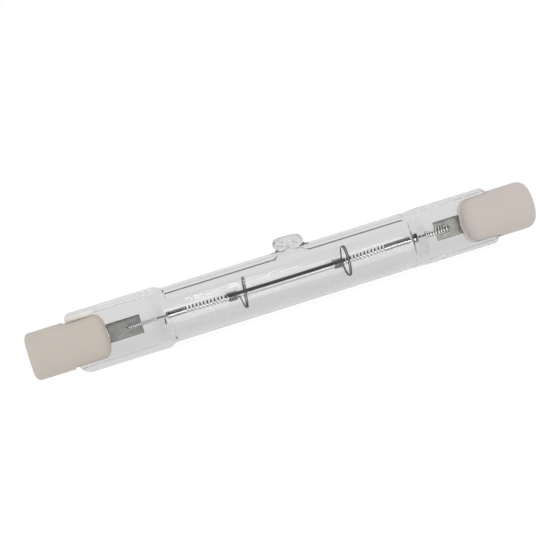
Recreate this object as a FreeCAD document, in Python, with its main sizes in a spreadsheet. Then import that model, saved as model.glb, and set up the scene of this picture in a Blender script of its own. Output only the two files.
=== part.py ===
import FreeCAD, Part

import math
import os
import re

import Sketcher
from FreeCAD import Placement, Rotation, Vector

# A double-ended linear halogen lamp. X runs along the lamp, Z points up through the exhaust tip,
# and Y is the thin way of the flat pinch seals. The origin is on the surface that the lamp lies on,
# under its middle. All sizes are in millimetres, angles in degrees.

SIZES = [
    # Quartz envelope
    ("tube_diameter", 8.4, "outside of the quartz tube"),
    ("bore_diameter", 6.2, "inside of the quartz tube"),
    ("barrel_length", 38.4, "full round part of the tube"),
    ("barrel_offset", 1.05, "from the lamp's middle to the middle of the round part, towards the right"),
    ("bore_inset", 0.5, "the bore starts to flatten this far before the round part ends"),
    ("bore_wedge", 1.3, "length over which the bore is squeezed shut"),
    ("wedge_width", 5.2, "width of the bore's squeezed end"),
    ("wedge_thickness", 0.9, "thickness of the bore's squeezed end"),
    ("shoulder_length", 2.0, "length over which the tube is pressed flat"),
    ("shoulder_step", 1.0, "length over which the press spreads the tube to the pinch's width"),
    ("pinch_length", 13.5, "mean length of the two pinches, from the end of the round part"),
    ("left_rim_width", 1.0, "width of the thick rim along each edge of the left pinch"),
    ("right_rim_width", 0.65, "width of the thick rim along each edge of the right pinch"),
    ("rim_thickness", 3.2, "thickness of the rims"),
    ("rim_round", 0.5, "rounding along the rims"),
    ("rim_draft", 0.15, "slope of the rim's inner flank"),
    ("web_thickness", 2.1, "thickness of the pinch between its rims"),
    ("pinch_corner", 0.9, "corner radius at the ends of the rims"),
    ("pinch_corner_large", 2.0, "the one corner that the press left rounder"),
    # Sealed exhaust tube
    ("tip_place", 1.1, "from the middle of the round part to the middle of the tip"),
    ("tip_diameter", 4.65, "widest part of the tip"),
    ("tip_neck", 4.1, "waist of the tip at the tube"),
    ("tip_waist_height", 0.3, "height of the waist above the tube"),
    ("tip_height", 1.85, "height of the tip above the tube"),
    ("tip_round", 0.85, "rounding of the tip's head"),
    ("tip_lean", 2.5, "lean of the tip along the lamp, in degrees"),
    ("funnel_dip", 0.25, "the funnel's mouth starts this far below the bore's top"),
    ("funnel_diameter", 2.4, "mouth of the funnel that leads up into the tip"),
    ("funnel_height", 4.9, "end of the funnel above the lamp's axis"),
    ("funnel_end", 0.5, "diameter of the funnel's end"),
    # Ceramic caps
    ("cap_diameter", 7.15, "ceramic cap"),
    ("cap_base", 6.05, "from the bottom of the slot to the cap's end face"),
    ("left_cheek_length", 5.85, "length of the left cap's two cheeks beside the slot"),
    ("right_cheek_length", 5.05, "length of the right cap's two cheeks beside the slot"),
    ("cheek_round_length", 2.0, "rounding of the cheeks' ends, along the lamp"),
    ("cheek_round_rise", 2.1, "rounding of the cheeks' ends, across the lamp"),
    ("cap_edge_round", 0.8, "rounding of the cap's outer edge"),
    ("cheek_side_gap", 0.075, "room between a cheek and the rim beside it"),
    ("cement_gap", 0.15, "cement on each face of the web"),
    ("cement_bed", 0.4, "cement between the pinch's end and the bottom of the slot"),
    ("cement_setback", 0.5, "the cement ends this far inside the cheeks"),
    ("cement_side_setback", 0.3, "the cement stays this far inside the cap's round side"),
    ("recess_diameter", 3.6, "contact recess in the cap's end"),
    ("recess_depth", 1.6, "contact recess in the cap's end"),
    ("contact_seat_diameter", 3.2, "narrower seat of the contact, inside the recess"),
    ("contact_depth", 1.7, "from the cap's end face to the contact"),
    # Contacts
    ("contact_clearance", 0.06, "room round the contact"),
    ("contact_thickness", 0.7, "contact button"),
    ("lead_hole_clearance", 0.15, "room round the outer lead in the cap"),
    # Leads and sealing foils
    ("foil_width", 2.85, "sealing foil"),
    ("foil_thickness", 0.05, "sealing foil"),
    ("foil_length", 7.95, "sealing foil"),
    ("left_foil_cover", 2.75, "glass between the left foil's outer end and the end of the pinch"),
    ("right_foil_cover", 0.75, "glass between the right foil's outer end and the end of the pinch"),
    ("outer_lead_diameter", 0.9, "lead between the foil and the contact"),
    ("outer_lead_lap", 1.8, "length of the outer lead that lies on the foil"),
    ("inner_lead_diameter", 0.3, "lead between the filament and the foil"),
    ("inner_lead_lap", 2.3, "length of the inner lead that lies on the foil"),
    ("lead_plug", 2.6, "length of the inner lead that is held in the filament's end"),
    ("weld_gap", 0.01, "between a lead and the face of its foil"),
    ("glass_gap", 0.05, "gap in the glass round a lead or its winding"),
    # Windings round the inner leads, where they enter the glass
    ("winding_clearance", 0.02, "room between a winding and the lead in it"),
    ("fine_winding_wire", 0.12, "wire of the left winding"),
    ("fine_winding_pitch", 0.28, "left winding"),
    ("fine_winding_setback", 0.6, "from the end of the gas space to the left winding"),
    ("fine_winding_stop", 0.15, "from the left winding to the lead's end"),
    ("coarse_winding_wire", 0.16, "wire of the right winding"),
    ("coarse_winding_width", 1.2, "width of the flattened right winding"),
    ("coarse_winding_pitch", 0.42, "right winding"),
    ("coarse_winding_setback", 1.0, "from the end of the gas space to the right winding"),
    ("coarse_winding_stop", 0.55, "from the right winding to the lead's end"),
    # Filament and its supports
    ("filament_clearance", 0.04, "room between the filament's turns and the lead in its end"),
    ("filament_wire", 0.19, "thickness of the coiled wire"),
    ("filament_end_gap", 0.6, "from the end of the gas space to the end of the filament"),
    ("filament_pitch", 0.385, "pitch of the open turns"),
    ("filament_end_pitch", 0.29, "pitch of the close turns at both ends"),
    ("filament_end_length", 2.6, "length of the close turns at each end"),
    ("filament_sag", 0.22, "sag of the filament at its middle"),
    ("support_wire", 0.17, "wire of the supports"),
    ("support_clearance", 0.04, "room between the filament and the support's winding"),
    ("support_winding_pitch", 0.27, "support's winding round the filament"),
    ("support_winding_length", 1.35, "support's winding round the filament"),
    ("support_ring_diameter", 4.7, "support ring, outside"),
    ("support_ring_pitch", 0.24, "rise of the support ring over one turn"),
    ("left_ring_place", -7.35, "from the middle of the round part to the left support ring"),
    ("left_ring_run", 1.05, "from the left winding to its ring"),
    ("right_ring_place", 8.45, "from the middle of the round part to the right support ring"),
    ("right_ring_run", 0.4, "from the right winding to its ring"),
]

LEFT = -1
RIGHT = 1
SIDES = {"left": LEFT, "right": RIGHT}
FULL_TURN = 360
# Straight runs in one turn of a wound wire, and turns of a support's ring
FILAMENT_RUNS = 4.5
WINDING_RUNS = 4.5
SUPPORT_RUNS = 7
RING_RUNS = 16
RING_TURNS = 1.4
SPIRAL_TURNS = 0.5
# Flat sides of the straight inner leads
LEAD_SIDES = 8
# Flats that make up a rounded edge
EDGE_FLAT_COUNT = 2
HEAD_FLAT_COUNT = 2
CHEEK_FLAT_COUNT = 2
# A cutting body reaches this far past what it cuts
OVERCUT = 1.0

doc = FreeCAD.newDocument("LinearHalogenLamp")
sheet = doc.addObject("Spreadsheet::Sheet", "Sizes")
for row, (alias, amount, note) in enumerate(SIZES, start=1):
    sheet.set(f"A{row}", alias)
    sheet.set(f"B{row}", str(amount))
    sheet.setAlias(f"B{row}", alias)
    sheet.set(f"C{row}", note)
doc.recompute()

ALIASES = {alias for alias, _, _ in SIZES}


def full(expression):
    """Name the sheet in front of each of its aliases, for use in another object."""
    return re.sub(r"[a-z_]+", lambda word: "Sizes." + word[0] if word[0] in ALIASES else word[0], str(expression))


def value(expression):
    """Work out an expression of sheet aliases as a number."""
    return float(sheet.evalExpression(str(expression)))


def both_sides(expression):
    """The same expression for each side, with SIDE as the sign of its X and WORD as its name."""
    return {side: expression.replace("SIDE", str(side)).replace("WORD", word) for word, side in SIDES.items()}


def each_side(places, expression):
    """An expression for each side in which PLACE stands for that side's value in places."""
    return {side: both_sides(expression)[side].replace("PLACE", place) for side, place in places.items()}


# Places outwards along the lamp, from its middle
PINCH_END = "(barrel_length / 2 + pinch_length)"
SLOT_BASE = f"({PINCH_END} + cement_bed)"
CAP_END = f"({SLOT_BASE} + cap_base)"
RECESS_END = f"({CAP_END} - recess_depth)"
CONTACT_FACE = f"({CAP_END} - contact_depth)"
CONTACT_SEAT = f"({CONTACT_FACE} - contact_thickness)"

# Places outwards along the lamp that differ from side to side
BARREL_END = both_sides("(barrel_length / 2 + SIDE * barrel_offset)")
SHOULDER_END = each_side(BARREL_END, "(PLACE + shoulder_length)")
BORE_END = each_side(BARREL_END, "(PLACE - bore_inset)")
WEDGE_END = each_side(BORE_END, "(PLACE + bore_wedge)")
FILAMENT_END = each_side(WEDGE_END, "(PLACE - filament_end_gap)")
INNER_LEAD_START = each_side(FILAMENT_END, "(PLACE - lead_plug)")
FOIL_END = both_sides(f"({PINCH_END} - WORD_foil_cover)")
FOIL_START = each_side(FOIL_END, "(PLACE - foil_length)")
OUTER_LEAD_START = each_side(FOIL_END, "(PLACE - outer_lead_lap)")
INNER_LEAD_END = each_side(FOIL_START, "(PLACE + inner_lead_lap)")
CHEEK_END = both_sides(f"({SLOT_BASE} - WORD_cheek_length)")

# Sizes across the lamp that follow from others
RIM_ROOT = "(cap_diameter / 2 + cheek_side_gap)"
PINCH_HALF = both_sides(f"({RIM_ROOT} + WORD_rim_width)")
AXIS_HEIGHT = f"max({PINCH_HALF[LEFT]}; {PINCH_HALF[RIGHT]}; tube_diameter / 2)"
SLOT_HALF = "(web_thickness / 2 + cement_gap)"
LEAD_HOLE = "(outer_lead_diameter / 2 + lead_hole_clearance)"
CONTACT_RADIUS = "(contact_seat_diameter / 2 - contact_clearance)"
FOIL_FACE = "(outer_lead_diameter / 2 + weld_gap)"


def bind(item, **expressions):
    """Tie properties of an object to the sheet."""
    for name, expression in expressions.items():
        item.setExpression(name, full(expression))


def seat(item, along="0", across="0", above="0"):
    """Tie an object's place to the sheet, measured from the middle of the lamp's axis."""
    item.setExpression("Placement.Base.x", full(along))
    item.setExpression("Placement.Base.y", full(across))
    item.setExpression("Placement.Base.z", full(f"{AXIS_HEIGHT} + {above}"))


def lower_end(side, near, far):
    """The smaller X of a stretch that runs outwards from near to far on one side."""
    return near if side == RIGHT else f"-{far}"


def new_body(name, side=RIGHT):
    """A body on the lamp's axis; on the left it is turned end for end."""
    body = doc.addObject("PartDesign::Body", name)
    if side == LEFT:
        body.Placement = Placement(Vector(), Rotation(Vector(0, 0, 1), 180))
    seat(body)
    return body


def new_sketch(body, name, plane, offset_x="0", offset_z="0", lean="0"):
    """A sketch on one of the body's own planes, moved in that plane's own directions."""
    sketch = body.newObject("Sketcher::SketchObject", name)
    base = next(item for item in body.Origin.OriginFeatures if item.Role == plane)
    sketch.AttachmentSupport = (base, "")
    sketch.MapMode = "FlatFace"
    sketch.AttachmentOffset = Placement(Vector(), Rotation(Vector(0, 0, 1), value(lean)))
    sketch.setExpression("AttachmentOffset.Base.x", full(offset_x))
    sketch.setExpression("AttachmentOffset.Base.z", full(offset_z))
    if lean != "0":
        sketch.setExpression("AttachmentOffset.Rotation.Angle", full(lean))
    return sketch


def outline(sketch, corners, bends=None):
    """Close an outline through corners; bends gives an edge's radius, below zero where it turns clockwise."""
    bends = bends or {}
    points = [Vector(value(along), value(up), 0) for along, up in corners]
    first_ends = []
    last_ends = []
    for number, start in enumerate(points):
        end = points[(number + 1) % len(points)]
        if number not in bends:
            edge = sketch.addGeometry(Part.LineSegment(start, end), False)
            first_ends.append((edge, 1))
            last_ends.append((edge, 2))
            continue
        radius = value(bends[number])
        turn = math.copysign(1, radius)
        half = (end - start) / 2
        rise = math.sqrt(max(radius ** 2 - half.Length ** 2, 0))
        centre = start + half + Vector(-half.y, half.x, 0).normalize() * (turn * rise)
        angles = [math.atan2(point.y - centre.y, point.x - centre.x) for point in (start, end)]
        circle = Part.Circle(centre, Vector(0, 0, 1), abs(radius))
        edge = sketch.addGeometry(Part.ArcOfCircle(circle, *(angles if turn > 0 else angles[::-1])), False)
        first_ends.append((edge, 1 if turn > 0 else 2))
        last_ends.append((edge, 2 if turn > 0 else 1))
        index = sketch.addConstraint(Sketcher.Constraint("Radius", edge, abs(radius)))
        sketch.setExpression(f"Constraints[{index}]", full(f"abs({bends[number]})"))
    for number, (along, up) in enumerate(corners):
        sketch.addConstraint(Sketcher.Constraint("Coincident", *last_ends[number - 1], *first_ends[number]))
        for kind, expression in (("DistanceX", along), ("DistanceY", up)):
            place = Sketcher.Constraint(kind, -1, 1, *first_ends[number], value(expression))
            index = sketch.addConstraint(place)
            sketch.setExpression(f"Constraints[{index}]", full(expression))
    return sketch


def revolve(body, sketch, axis, feature="PartDesign::Revolution"):
    """Turn a sketch once round one of its own axes."""
    turned = body.newObject(feature, sketch.Name + "Turned")
    turned.Profile = sketch
    turned.ReferenceAxis = (sketch, [axis])
    turned.Angle = FULL_TURN
    sketch.Visibility = False
    return turned


def quarter(along, up, run, rise, first, flats):
    """Corners of a quarter of an oval, round a centre, from a first direction in degrees."""
    angles = [first + number * 90 / flats for number in range(flats + 1)]
    return [(f"{along} + {run} * cos({angle} deg)", f"{up} + {rise} * sin({angle} deg)") for angle in angles]


def slice_off(body, name, plane, corners, depth, bends=None):
    """Take the same prism away on both sides of a plane."""
    sketch = new_sketch(body, name, plane)
    outline(sketch, corners, bends)
    pocket = body.newObject("PartDesign::Pocket", name + "Pocket")
    pocket.Profile = sketch
    pocket.Midplane = True
    bind(pocket, Length=depth)


def squeeze(body, name, plane, side, level, near, far, high, low, depth):
    """Slope one side of a round body from high, at near, to low, at far; depth is more than twice its radius."""
    outer = f"{level} * {depth}"
    past = f"{side} * ({far} + {OVERCUT})"
    slice_off(body, name, plane, [(f"{side} * {near}", f"{level} * {high}"), (f"{side} * {near}", outer),
                                  (past, outer), (past, f"{level} * {low}"),
                                  (f"{side} * {far}", f"{level} * {low}")], depth)


def pinch_section(sketch, half):
    """The pinch seal's section, half high above its middle: a thin web with a thick, rounded rim on both edges."""
    corner = [("web_thickness / 2", RIM_ROOT), ("rim_thickness / 2", f"({RIM_ROOT} + rim_draft)"),
              ("rim_thickness / 2", f"({half} - rim_round)"), ("(rim_thickness / 2 - rim_round)", half)]
    corners = list(corner)
    corners += [(f"-{across}", up) for across, up in reversed(corner)]
    corners += [(f"-{across}", f"-{up}") for across, up in corner]
    corners += [(across, f"-{up}") for across, up in reversed(corner)]
    return outline(sketch, corners, {number: "rim_round" for number in (2, 4, 10, 12)})


def straight_cylinder(name, radius, side, near, far):
    """A round bar or passage along the lamp's axis."""
    bar = doc.addObject("Part::Cylinder", name)
    bar.Placement = Placement(Vector(), Rotation(Vector(0, 1, 0), 90))
    bind(bar, Radius=radius, Height=f"{far} - {near}")
    seat(bar, along=lower_end(side, near, far))
    return bar


def straight_box(name, side, near, far, low_y, thickness, width):
    """A flat bar or slot along the lamp, centred on its axis in Z."""
    bar = doc.addObject("Part::Box", name)
    bind(bar, Length=f"{far} - {near}", Width=thickness, Height=width)
    seat(bar, along=lower_end(side, near, far), across=low_y, above=f"-{width} / 2")
    return bar


def boolean(kind, name, base, tool):
    """Cut one object by another, or keep what they share."""
    result = doc.addObject("Part::" + kind, name)
    result.Base = base
    result.Tool = tool
    return result


def fused(name, items):
    """Join objects into one tool."""
    result = doc.addObject("Part::MultiFuse", name)
    result.Shapes = items
    return result


def corner_reach(sides):
    """How much further out a prism's corners stand than a round bar of the same section."""
    return math.sqrt(2 * math.pi / (sides * math.sin(2 * math.pi / sides)))


def bent_wire(points, diameter, sides):
    """A solid wire along straight runs with mitred corners."""
    corner_radius = diameter / 2 * corner_reach(sides)
    runs = [(after - before).normalize() for before, after in zip(points, points[1:])]
    across = runs[0].cross(Vector(0, 0, 1) if abs(runs[0].x) > abs(runs[0].z) else Vector(1, 0, 0)).normalize()
    rise = runs[0].cross(across)
    angles = [2 * math.pi * (number + 0.5) / sides for number in range(sides)]
    ring = [points[0] + (across * math.cos(angle) + rise * math.sin(angle)) * corner_radius for angle in angles]
    rings = [ring]
    for number, run in enumerate(runs):
        mitre = run + runs[number + 1] if number + 1 < len(runs) else run
        target = points[number + 1]
        ring = [corner + run * ((target - corner).dot(mitre) / run.dot(mitre)) for corner in ring]
        rings.append(ring)
    faces = [Part.Face(Part.makePolygon(end + end[:1])) for end in (rings[0], rings[-1])]
    for near, far in zip(rings, rings[1:]):
        for number in range(sides):
            after = (number + 1) % sides
            corners = [near[number], near[after], far[after], far[number], near[number]]
            faces.append(Part.Face(Part.makePolygon(corners)))
    shell = Part.Shell(faces)
    shell.sewShape()
    solid = Part.Solid(shell)
    if solid.Volume < 0:
        solid.reverse()
    return solid


def wire_feature(name, points, diameter, sides=4):
    """An object of the document that holds a bent wire, lifted to the lamp's axis."""
    item = doc.addObject("Part::Feature", name)
    item.Shape = bent_wire(points, diameter, sides)
    item.Placement = Placement(Vector(0, 0, value(AXIS_HEIGHT)), Rotation())
    return item


def filament_drop(along):
    """How far the filament's middle line hangs below the lamp's axis, between the leads' ends."""
    middle = value("barrel_offset")
    share = (along - middle) / (value(INNER_LEAD_START[RIGHT]) - middle)
    return value("filament_sag") * max(1 - share ** 2, 0)


def turn_point(along, angle, across, up, drop=0.0):
    """A point of a winding round the lamp's axis, with angle in turns from the top."""
    return Vector(along, across * math.sin(2 * math.pi * angle), up * math.cos(2 * math.pi * angle) - drop)


def filament_points():
    """The filament's coil: open turns, closer at both ends, with a slight sag."""
    end = value(FILAMENT_END[RIGHT])
    middle = value("barrel_offset")
    open_half = end - middle - value("filament_end_length")
    along = -value(FILAMENT_END[LEFT])
    points = []
    while along < end:
        points.append(turn_point(along, len(points) / FILAMENT_RUNS, filament_reach, filament_reach,
                                 filament_drop(along)))
        pitch = value("filament_pitch") if abs(along - middle) < open_half else value("filament_end_pitch")
        along += pitch / FILAMENT_RUNS
    return points


def winding_points(side, kind, across, up):
    """An even winding round the inner lead on one side."""
    start = value(f"{WEDGE_END[side]} + {kind}_winding_setback")
    length = value(f"{INNER_LEAD_END[side]} - {kind}_winding_stop") - start
    step = value(f"{kind}_winding_pitch") / WINDING_RUNS
    return [turn_point(side * (start + number * step), number / WINDING_RUNS, across, up)
            for number in range(int(length / step) + 1)]


def winding_reach(inner, wire, runs):
    """Radius of a winding's corners, so that the middles of its runs clear what is inside it."""
    return (inner + wire / 2) / math.cos(math.pi / runs)


def support_points(place, run):
    """A support: close turns round the filament, a spiral outwards and a ring."""
    wire = value("support_wire")
    ring_place = value(f"barrel_offset + {place}")
    close_end = ring_place - value(run)
    close_start = close_end - value("support_winding_length")
    close_turns = value("support_winding_length") / value("support_winding_pitch")
    inner = filament_reach + value("filament_wire") / 2 * corner_reach(4) + value("support_clearance")
    close_radius = winding_reach(inner, wire, SUPPORT_RUNS)
    ring_radius = (value("support_ring_diameter") - wire) / 2
    drop = filament_drop(ring_place)
    count = round(close_turns * SUPPORT_RUNS)
    points = []
    for number in range(count):
        along = close_start + number / count * (close_end - close_start)
        points.append(turn_point(along, number / SUPPORT_RUNS, close_radius, close_radius, filament_drop(along)))
    turned = count / SUPPORT_RUNS
    count = round(SPIRAL_TURNS * SUPPORT_RUNS)
    for number in range(count):
        share = number / count
        radius = close_radius + (ring_radius - close_radius) * share
        along = close_end + (ring_place - close_end) * share
        points.append(turn_point(along, turned + number / SUPPORT_RUNS, radius, radius, drop))
    turned += SPIRAL_TURNS
    for number in range(round(RING_TURNS * RING_RUNS) + 1):
        angle = number / RING_RUNS
        along = ring_place + value("support_ring_pitch") * angle
        points.append(turn_point(along, turned + angle, ring_radius, ring_radius, drop))
    return points


# Sealing foils and leads, which the glass is pressed round
foils = {}
outer_leads = {}
for word, side in SIDES.items():
    foils[word] = straight_box("foil_" + word, side, FOIL_START[side], FOIL_END[side], FOIL_FACE,
                               "foil_thickness", "foil_width")
    outer_leads[word] = straight_cylinder("outer_lead_" + word, "outer_lead_diameter / 2", side,
                                          OUTER_LEAD_START[side], CONTACT_SEAT)
    wire_feature("inner_lead_" + word, [Vector(side * value(INNER_LEAD_START[side]), 0, 0),
                                        Vector(side * value(INNER_LEAD_END[side]), 0, 0)],
                 value("inner_lead_diameter"), LEAD_SIDES)

# Windings round the inner leads: a fine round one on the left, a coarse flattened one on the right
lead_radius = value("inner_lead_diameter / 2 + winding_clearance")
fine_reach = winding_reach(lead_radius, value("fine_winding_wire"), WINDING_RUNS)
wire_feature("lead_winding_left", winding_points(LEFT, "fine", fine_reach, fine_reach),
             value("fine_winding_wire"))
coarse_reach = winding_reach(lead_radius, value("coarse_winding_wire"), WINDING_RUNS)
coarse_up = value("(coarse_winding_width - coarse_winding_wire) / 2")
wire_feature("lead_winding_right", winding_points(RIGHT, "coarse", coarse_reach, coarse_up),
             value("coarse_winding_wire"))

# Filament and its two supports
filament_reach = winding_reach(value("inner_lead_diameter / 2 + filament_clearance"), value("filament_wire"),
                               FILAMENT_RUNS)
wire_feature("filament", filament_points(), value("filament_wire"))
wire_feature("support_left", support_points("left_ring_place", "left_ring_run"), value("support_wire"))
wire_feature("support_right", support_points("right_ring_place", "right_ring_run"), value("support_wire"))

# Quartz envelope: a round tube, pressed flat into a ribbed seal at both ends, with a sealed exhaust tip
glass = new_body("Glass")
barrel = new_sketch(glass, "Barrel", "XZ_Plane")
outline(barrel, [(f"-{SHOULDER_END[LEFT]}", "0"), (SHOULDER_END[RIGHT], "0"),
                 (SHOULDER_END[RIGHT], "tube_diameter / 2"), (f"-{SHOULDER_END[LEFT]}", "tube_diameter / 2")])
revolve(glass, barrel, "H_Axis")
for word, side in SIDES.items():
    name = word.title()
    for row, level in (("High", 1), ("Low", -1)):
        squeeze(glass, "Flat" + name + row, "XY_Plane", side, level, BARREL_END[side], SHOULDER_END[side],
                "(tube_diameter / 2)", "(rim_thickness / 2)", "2 * tube_diameter")
    seal = new_sketch(glass, "Pinch" + name, "YZ_Plane", offset_z=f"{side} * {BARREL_END[side]}")
    pinch_section(seal, PINCH_HALF[side])
    pad = glass.newObject("PartDesign::Pad", "PinchPad" + name)
    pad.Profile = seal
    pad.Reversed = side == LEFT
    bind(pad, Length=f"{PINCH_END} - {BARREL_END[side]}")
    for row, level in (("High", 1), ("Low", -1)):
        squeeze(glass, "Spread" + name + row, "XZ_Plane", side, level, BARREL_END[side],
                f"({BARREL_END[side]} + shoulder_step)", "(tube_diameter / 2)", PINCH_HALF[side],
                f"4 * {PINCH_HALF[side]}")

TIP_TOP = "(tube_diameter / 2 + tip_height)"
TIP_WAIST = "(tube_diameter / 2 + tip_waist_height)"
tip = new_sketch(glass, "Tip", "XZ_Plane", offset_x="barrel_offset + tip_place", lean="tip_lean")
outline(tip, [("0", "bore_diameter / 2"), ("tip_neck / 2", "bore_diameter / 2"), ("tip_neck / 2", TIP_WAIST)]
        + quarter("(tip_diameter / 2 - tip_round)", f"({TIP_TOP} - tip_round)", "tip_round", "tip_round", 0,
                  HEAD_FLAT_COUNT)
        + [("0", TIP_TOP)])
revolve(glass, tip, "V_Axis")


def round_corner(side, level, radius):
    """Round one corner of the pinch seal, seen along Y."""
    far = f"{side} * {PINCH_END}"
    near = f"{side} * ({PINCH_END} - {radius})"
    high = f"{level} * {PINCH_HALF[side]}"
    low = f"{level} * ({PINCH_HALF[side]} - {radius})"
    past = f"{side} * ({PINCH_END} + {OVERCUT})"
    over = f"{level} * ({PINCH_HALF[side]} + {OVERCUT})"
    words = ("Left" if side == LEFT else "Right") + ("High" if level > 0 else "Low")
    slice_off(glass, "Corner" + words, "XZ_Plane", [(far, low), (near, high), (near, over), (past, over),
                                                    (past, low)],
              f"rim_thickness + 2 * {OVERCUT}", {0: f"{side * level} * {radius}"})


round_corner(LEFT, 1, "pinch_corner")
round_corner(RIGHT, 1, "pinch_corner")
round_corner(RIGHT, -1, "pinch_corner")
round_corner(LEFT, -1, "pinch_corner_large")

# The gas space: the tube's bore, squeezed shut at both ends, and the funnel that leads up into the tip
gas = new_body("GasSpace")
bore = new_sketch(gas, "Bore", "XZ_Plane")
outline(bore, [(f"-{WEDGE_END[LEFT]}", "0"), (WEDGE_END[RIGHT], "0"), (WEDGE_END[RIGHT], "bore_diameter / 2"),
               (f"-{WEDGE_END[LEFT]}", "bore_diameter / 2")])
revolve(gas, bore, "H_Axis")
for word, side in SIDES.items():
    for row, level in (("High", 1), ("Low", -1)):
        squeeze(gas, "Wedge" + word.title() + row, "XY_Plane", side, level, BORE_END[side], WEDGE_END[side],
                "(bore_diameter / 2)", "(wedge_thickness / 2)", "2 * bore_diameter")
        squeeze(gas, "WedgeSide" + word.title() + row, "XZ_Plane", side, level, BORE_END[side], WEDGE_END[side],
                "(bore_diameter / 2)", "(wedge_width / 2)", "2 * bore_diameter")
funnel = new_sketch(gas, "Funnel", "XZ_Plane", offset_x="barrel_offset + tip_place", lean="tip_lean")
outline(funnel, [("0", "0"), ("funnel_diameter / 2", "0"), ("funnel_diameter / 2", "bore_diameter / 2 - funnel_dip"),
                 ("funnel_end / 2", "funnel_height"), ("0", "funnel_height")])
revolve(gas, funnel, "V_Axis")

# Room in the glass for what it is pressed round
inside = [gas, foils["left"], foils["right"], outer_leads["left"], outer_leads["right"]]
for word, kind, reach in (("left", "fine", fine_reach), ("right", "coarse", coarse_up)):
    inside.append(straight_cylinder("Passage" + word.title(),
                                    f"{reach} + {kind}_winding_wire / 2 * {corner_reach(4)} + glass_gap",
                                    SIDES[word], BORE_END[SIDES[word]],
                                    f"({INNER_LEAD_END[SIDES[word]]} + glass_gap)"))
envelope = boolean("Cut", "envelope", glass, fused("Inside", inside))

# Ceramic caps, slotted so that their two cheeks lie on the pinch's web, and what is inside them
for word, side in SIDES.items():
    turned = new_body("CapTurned" + word.title(), side)
    profile = new_sketch(turned, "CapProfile" + word.title(), "XZ_Plane")
    edge = quarter(f"({CAP_END} - cap_edge_round)", "(cap_diameter / 2 - cap_edge_round)", "cap_edge_round",
                   "cap_edge_round", 0, EDGE_FLAT_COUNT)
    cheek = quarter(f"({CHEEK_END[side]} + cheek_round_length)", "(cap_diameter / 2 - cheek_round_rise)",
                    "cheek_round_length", "cheek_round_rise", 90, CHEEK_FLAT_COUNT)
    outline(profile, [(CAP_END, "recess_diameter / 2")] + edge + cheek
            + [(CHEEK_END[side], LEAD_HOLE), (CONTACT_SEAT, LEAD_HOLE), (CONTACT_SEAT, "contact_seat_diameter / 2"),
               (RECESS_END, "contact_seat_diameter / 2"), (RECESS_END, "recess_diameter / 2")])
    revolve(turned, profile, "H_Axis")
    slot = straight_box("Slot" + word.title(), side, f"({CHEEK_END[side]} - {OVERCUT})", SLOT_BASE, f"-{SLOT_HALF}",
                        f"2 * {SLOT_HALF}", f"(cap_diameter + {OVERCUT})")
    boolean("Cut", "cap_" + word, turned, slot)

    reach = straight_box("CementReach" + word.title(), side, f"({CHEEK_END[side]} + cement_setback)", SLOT_BASE,
                         f"-{SLOT_HALF}", f"2 * {SLOT_HALF}", "(cap_diameter - 2 * cement_side_setback)")
    filling = boolean("Common", "CementSpace" + word.title(), slot, reach)
    boolean("Cut", "cement_" + word, filling, fused("CementTool" + word.title(), [glass, outer_leads[word]]))

    straight_cylinder("contact_" + word, CONTACT_RADIUS, side, CONTACT_SEAT, CONTACT_FACE)
doc.recompute()

NODES = ["envelope", "filament", "support_left", "support_right"]
for word in SIDES:
    NODES += [piece + word for piece in ("inner_lead_", "lead_winding_", "foil_", "outer_lead_", "contact_",
                                         "cement_", "cap_")]

for item in doc.Objects:
    if "Invalid" in item.State or "Error" in item.State:
        raise RuntimeError(f"{item.Label} did not build: {item.getStatusString()}")
os.makedirs("parts", exist_ok=True)
for node in NODES:
    shape = doc.getObjectsByLabel(node)[0].Shape
    if shape.isNull() or not shape.isValid() or not shape.Solids:
        raise RuntimeError(f"{node} has no sound solid")
    shape.exportStep(f"parts/{node}.step")
    box = shape.BoundBox
    print(f"{node:20} solids {len(shape.Solids)} volume {shape.Volume:9.3f} x {box.XMin:7.2f} {box.XMax:7.2f}"
          f" y {box.YMin:6.2f} {box.YMax:6.2f} z {box.ZMin:6.2f} {box.ZMax:6.2f}")
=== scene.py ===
"""Looks of a double-ended linear halogen lamp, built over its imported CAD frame.

X runs along the lamp, Z points up through its exhaust tip and Y is the thin way of the flat seals. The lamp
lies on a white table at Z = 0. Everything is in metres, and sizes that are easier to read in millimetres are
multiplied by MM.
"""

import logging
import math
from collections.abc import Callable, Sequence
from dataclasses import dataclass, field
from enum import Enum

import bmesh
import bpy
import numpy as np
from mathutils import Matrix, Vector

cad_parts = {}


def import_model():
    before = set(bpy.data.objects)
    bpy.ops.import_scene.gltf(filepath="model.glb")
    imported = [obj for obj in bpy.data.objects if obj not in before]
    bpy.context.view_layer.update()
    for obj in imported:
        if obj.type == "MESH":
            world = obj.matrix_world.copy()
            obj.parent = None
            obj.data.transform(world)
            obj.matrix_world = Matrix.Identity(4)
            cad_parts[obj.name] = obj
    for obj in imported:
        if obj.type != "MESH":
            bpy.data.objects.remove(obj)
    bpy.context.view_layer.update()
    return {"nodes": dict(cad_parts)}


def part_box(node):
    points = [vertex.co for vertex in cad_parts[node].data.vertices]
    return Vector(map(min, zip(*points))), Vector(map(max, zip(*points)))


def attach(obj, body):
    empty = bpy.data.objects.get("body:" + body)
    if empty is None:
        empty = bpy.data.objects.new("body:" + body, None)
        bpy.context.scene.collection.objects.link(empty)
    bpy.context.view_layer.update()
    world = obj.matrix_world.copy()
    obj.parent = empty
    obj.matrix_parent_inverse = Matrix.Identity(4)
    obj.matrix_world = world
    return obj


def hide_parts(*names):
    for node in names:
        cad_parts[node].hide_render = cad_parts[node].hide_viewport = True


MM = 0.001
BODY = "root"
LEVEL = "level"
log = logging.getLogger("halogen_lamp")

# How far a coil's turns are turned round the vertical in the lamp's middle, and how much more in each metre.
TURN_YAW = 0.108
TURN_YAW_GROWTH = 3.6

Colour = tuple[float, float, float]
Socket = bpy.types.NodeSocket


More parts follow.
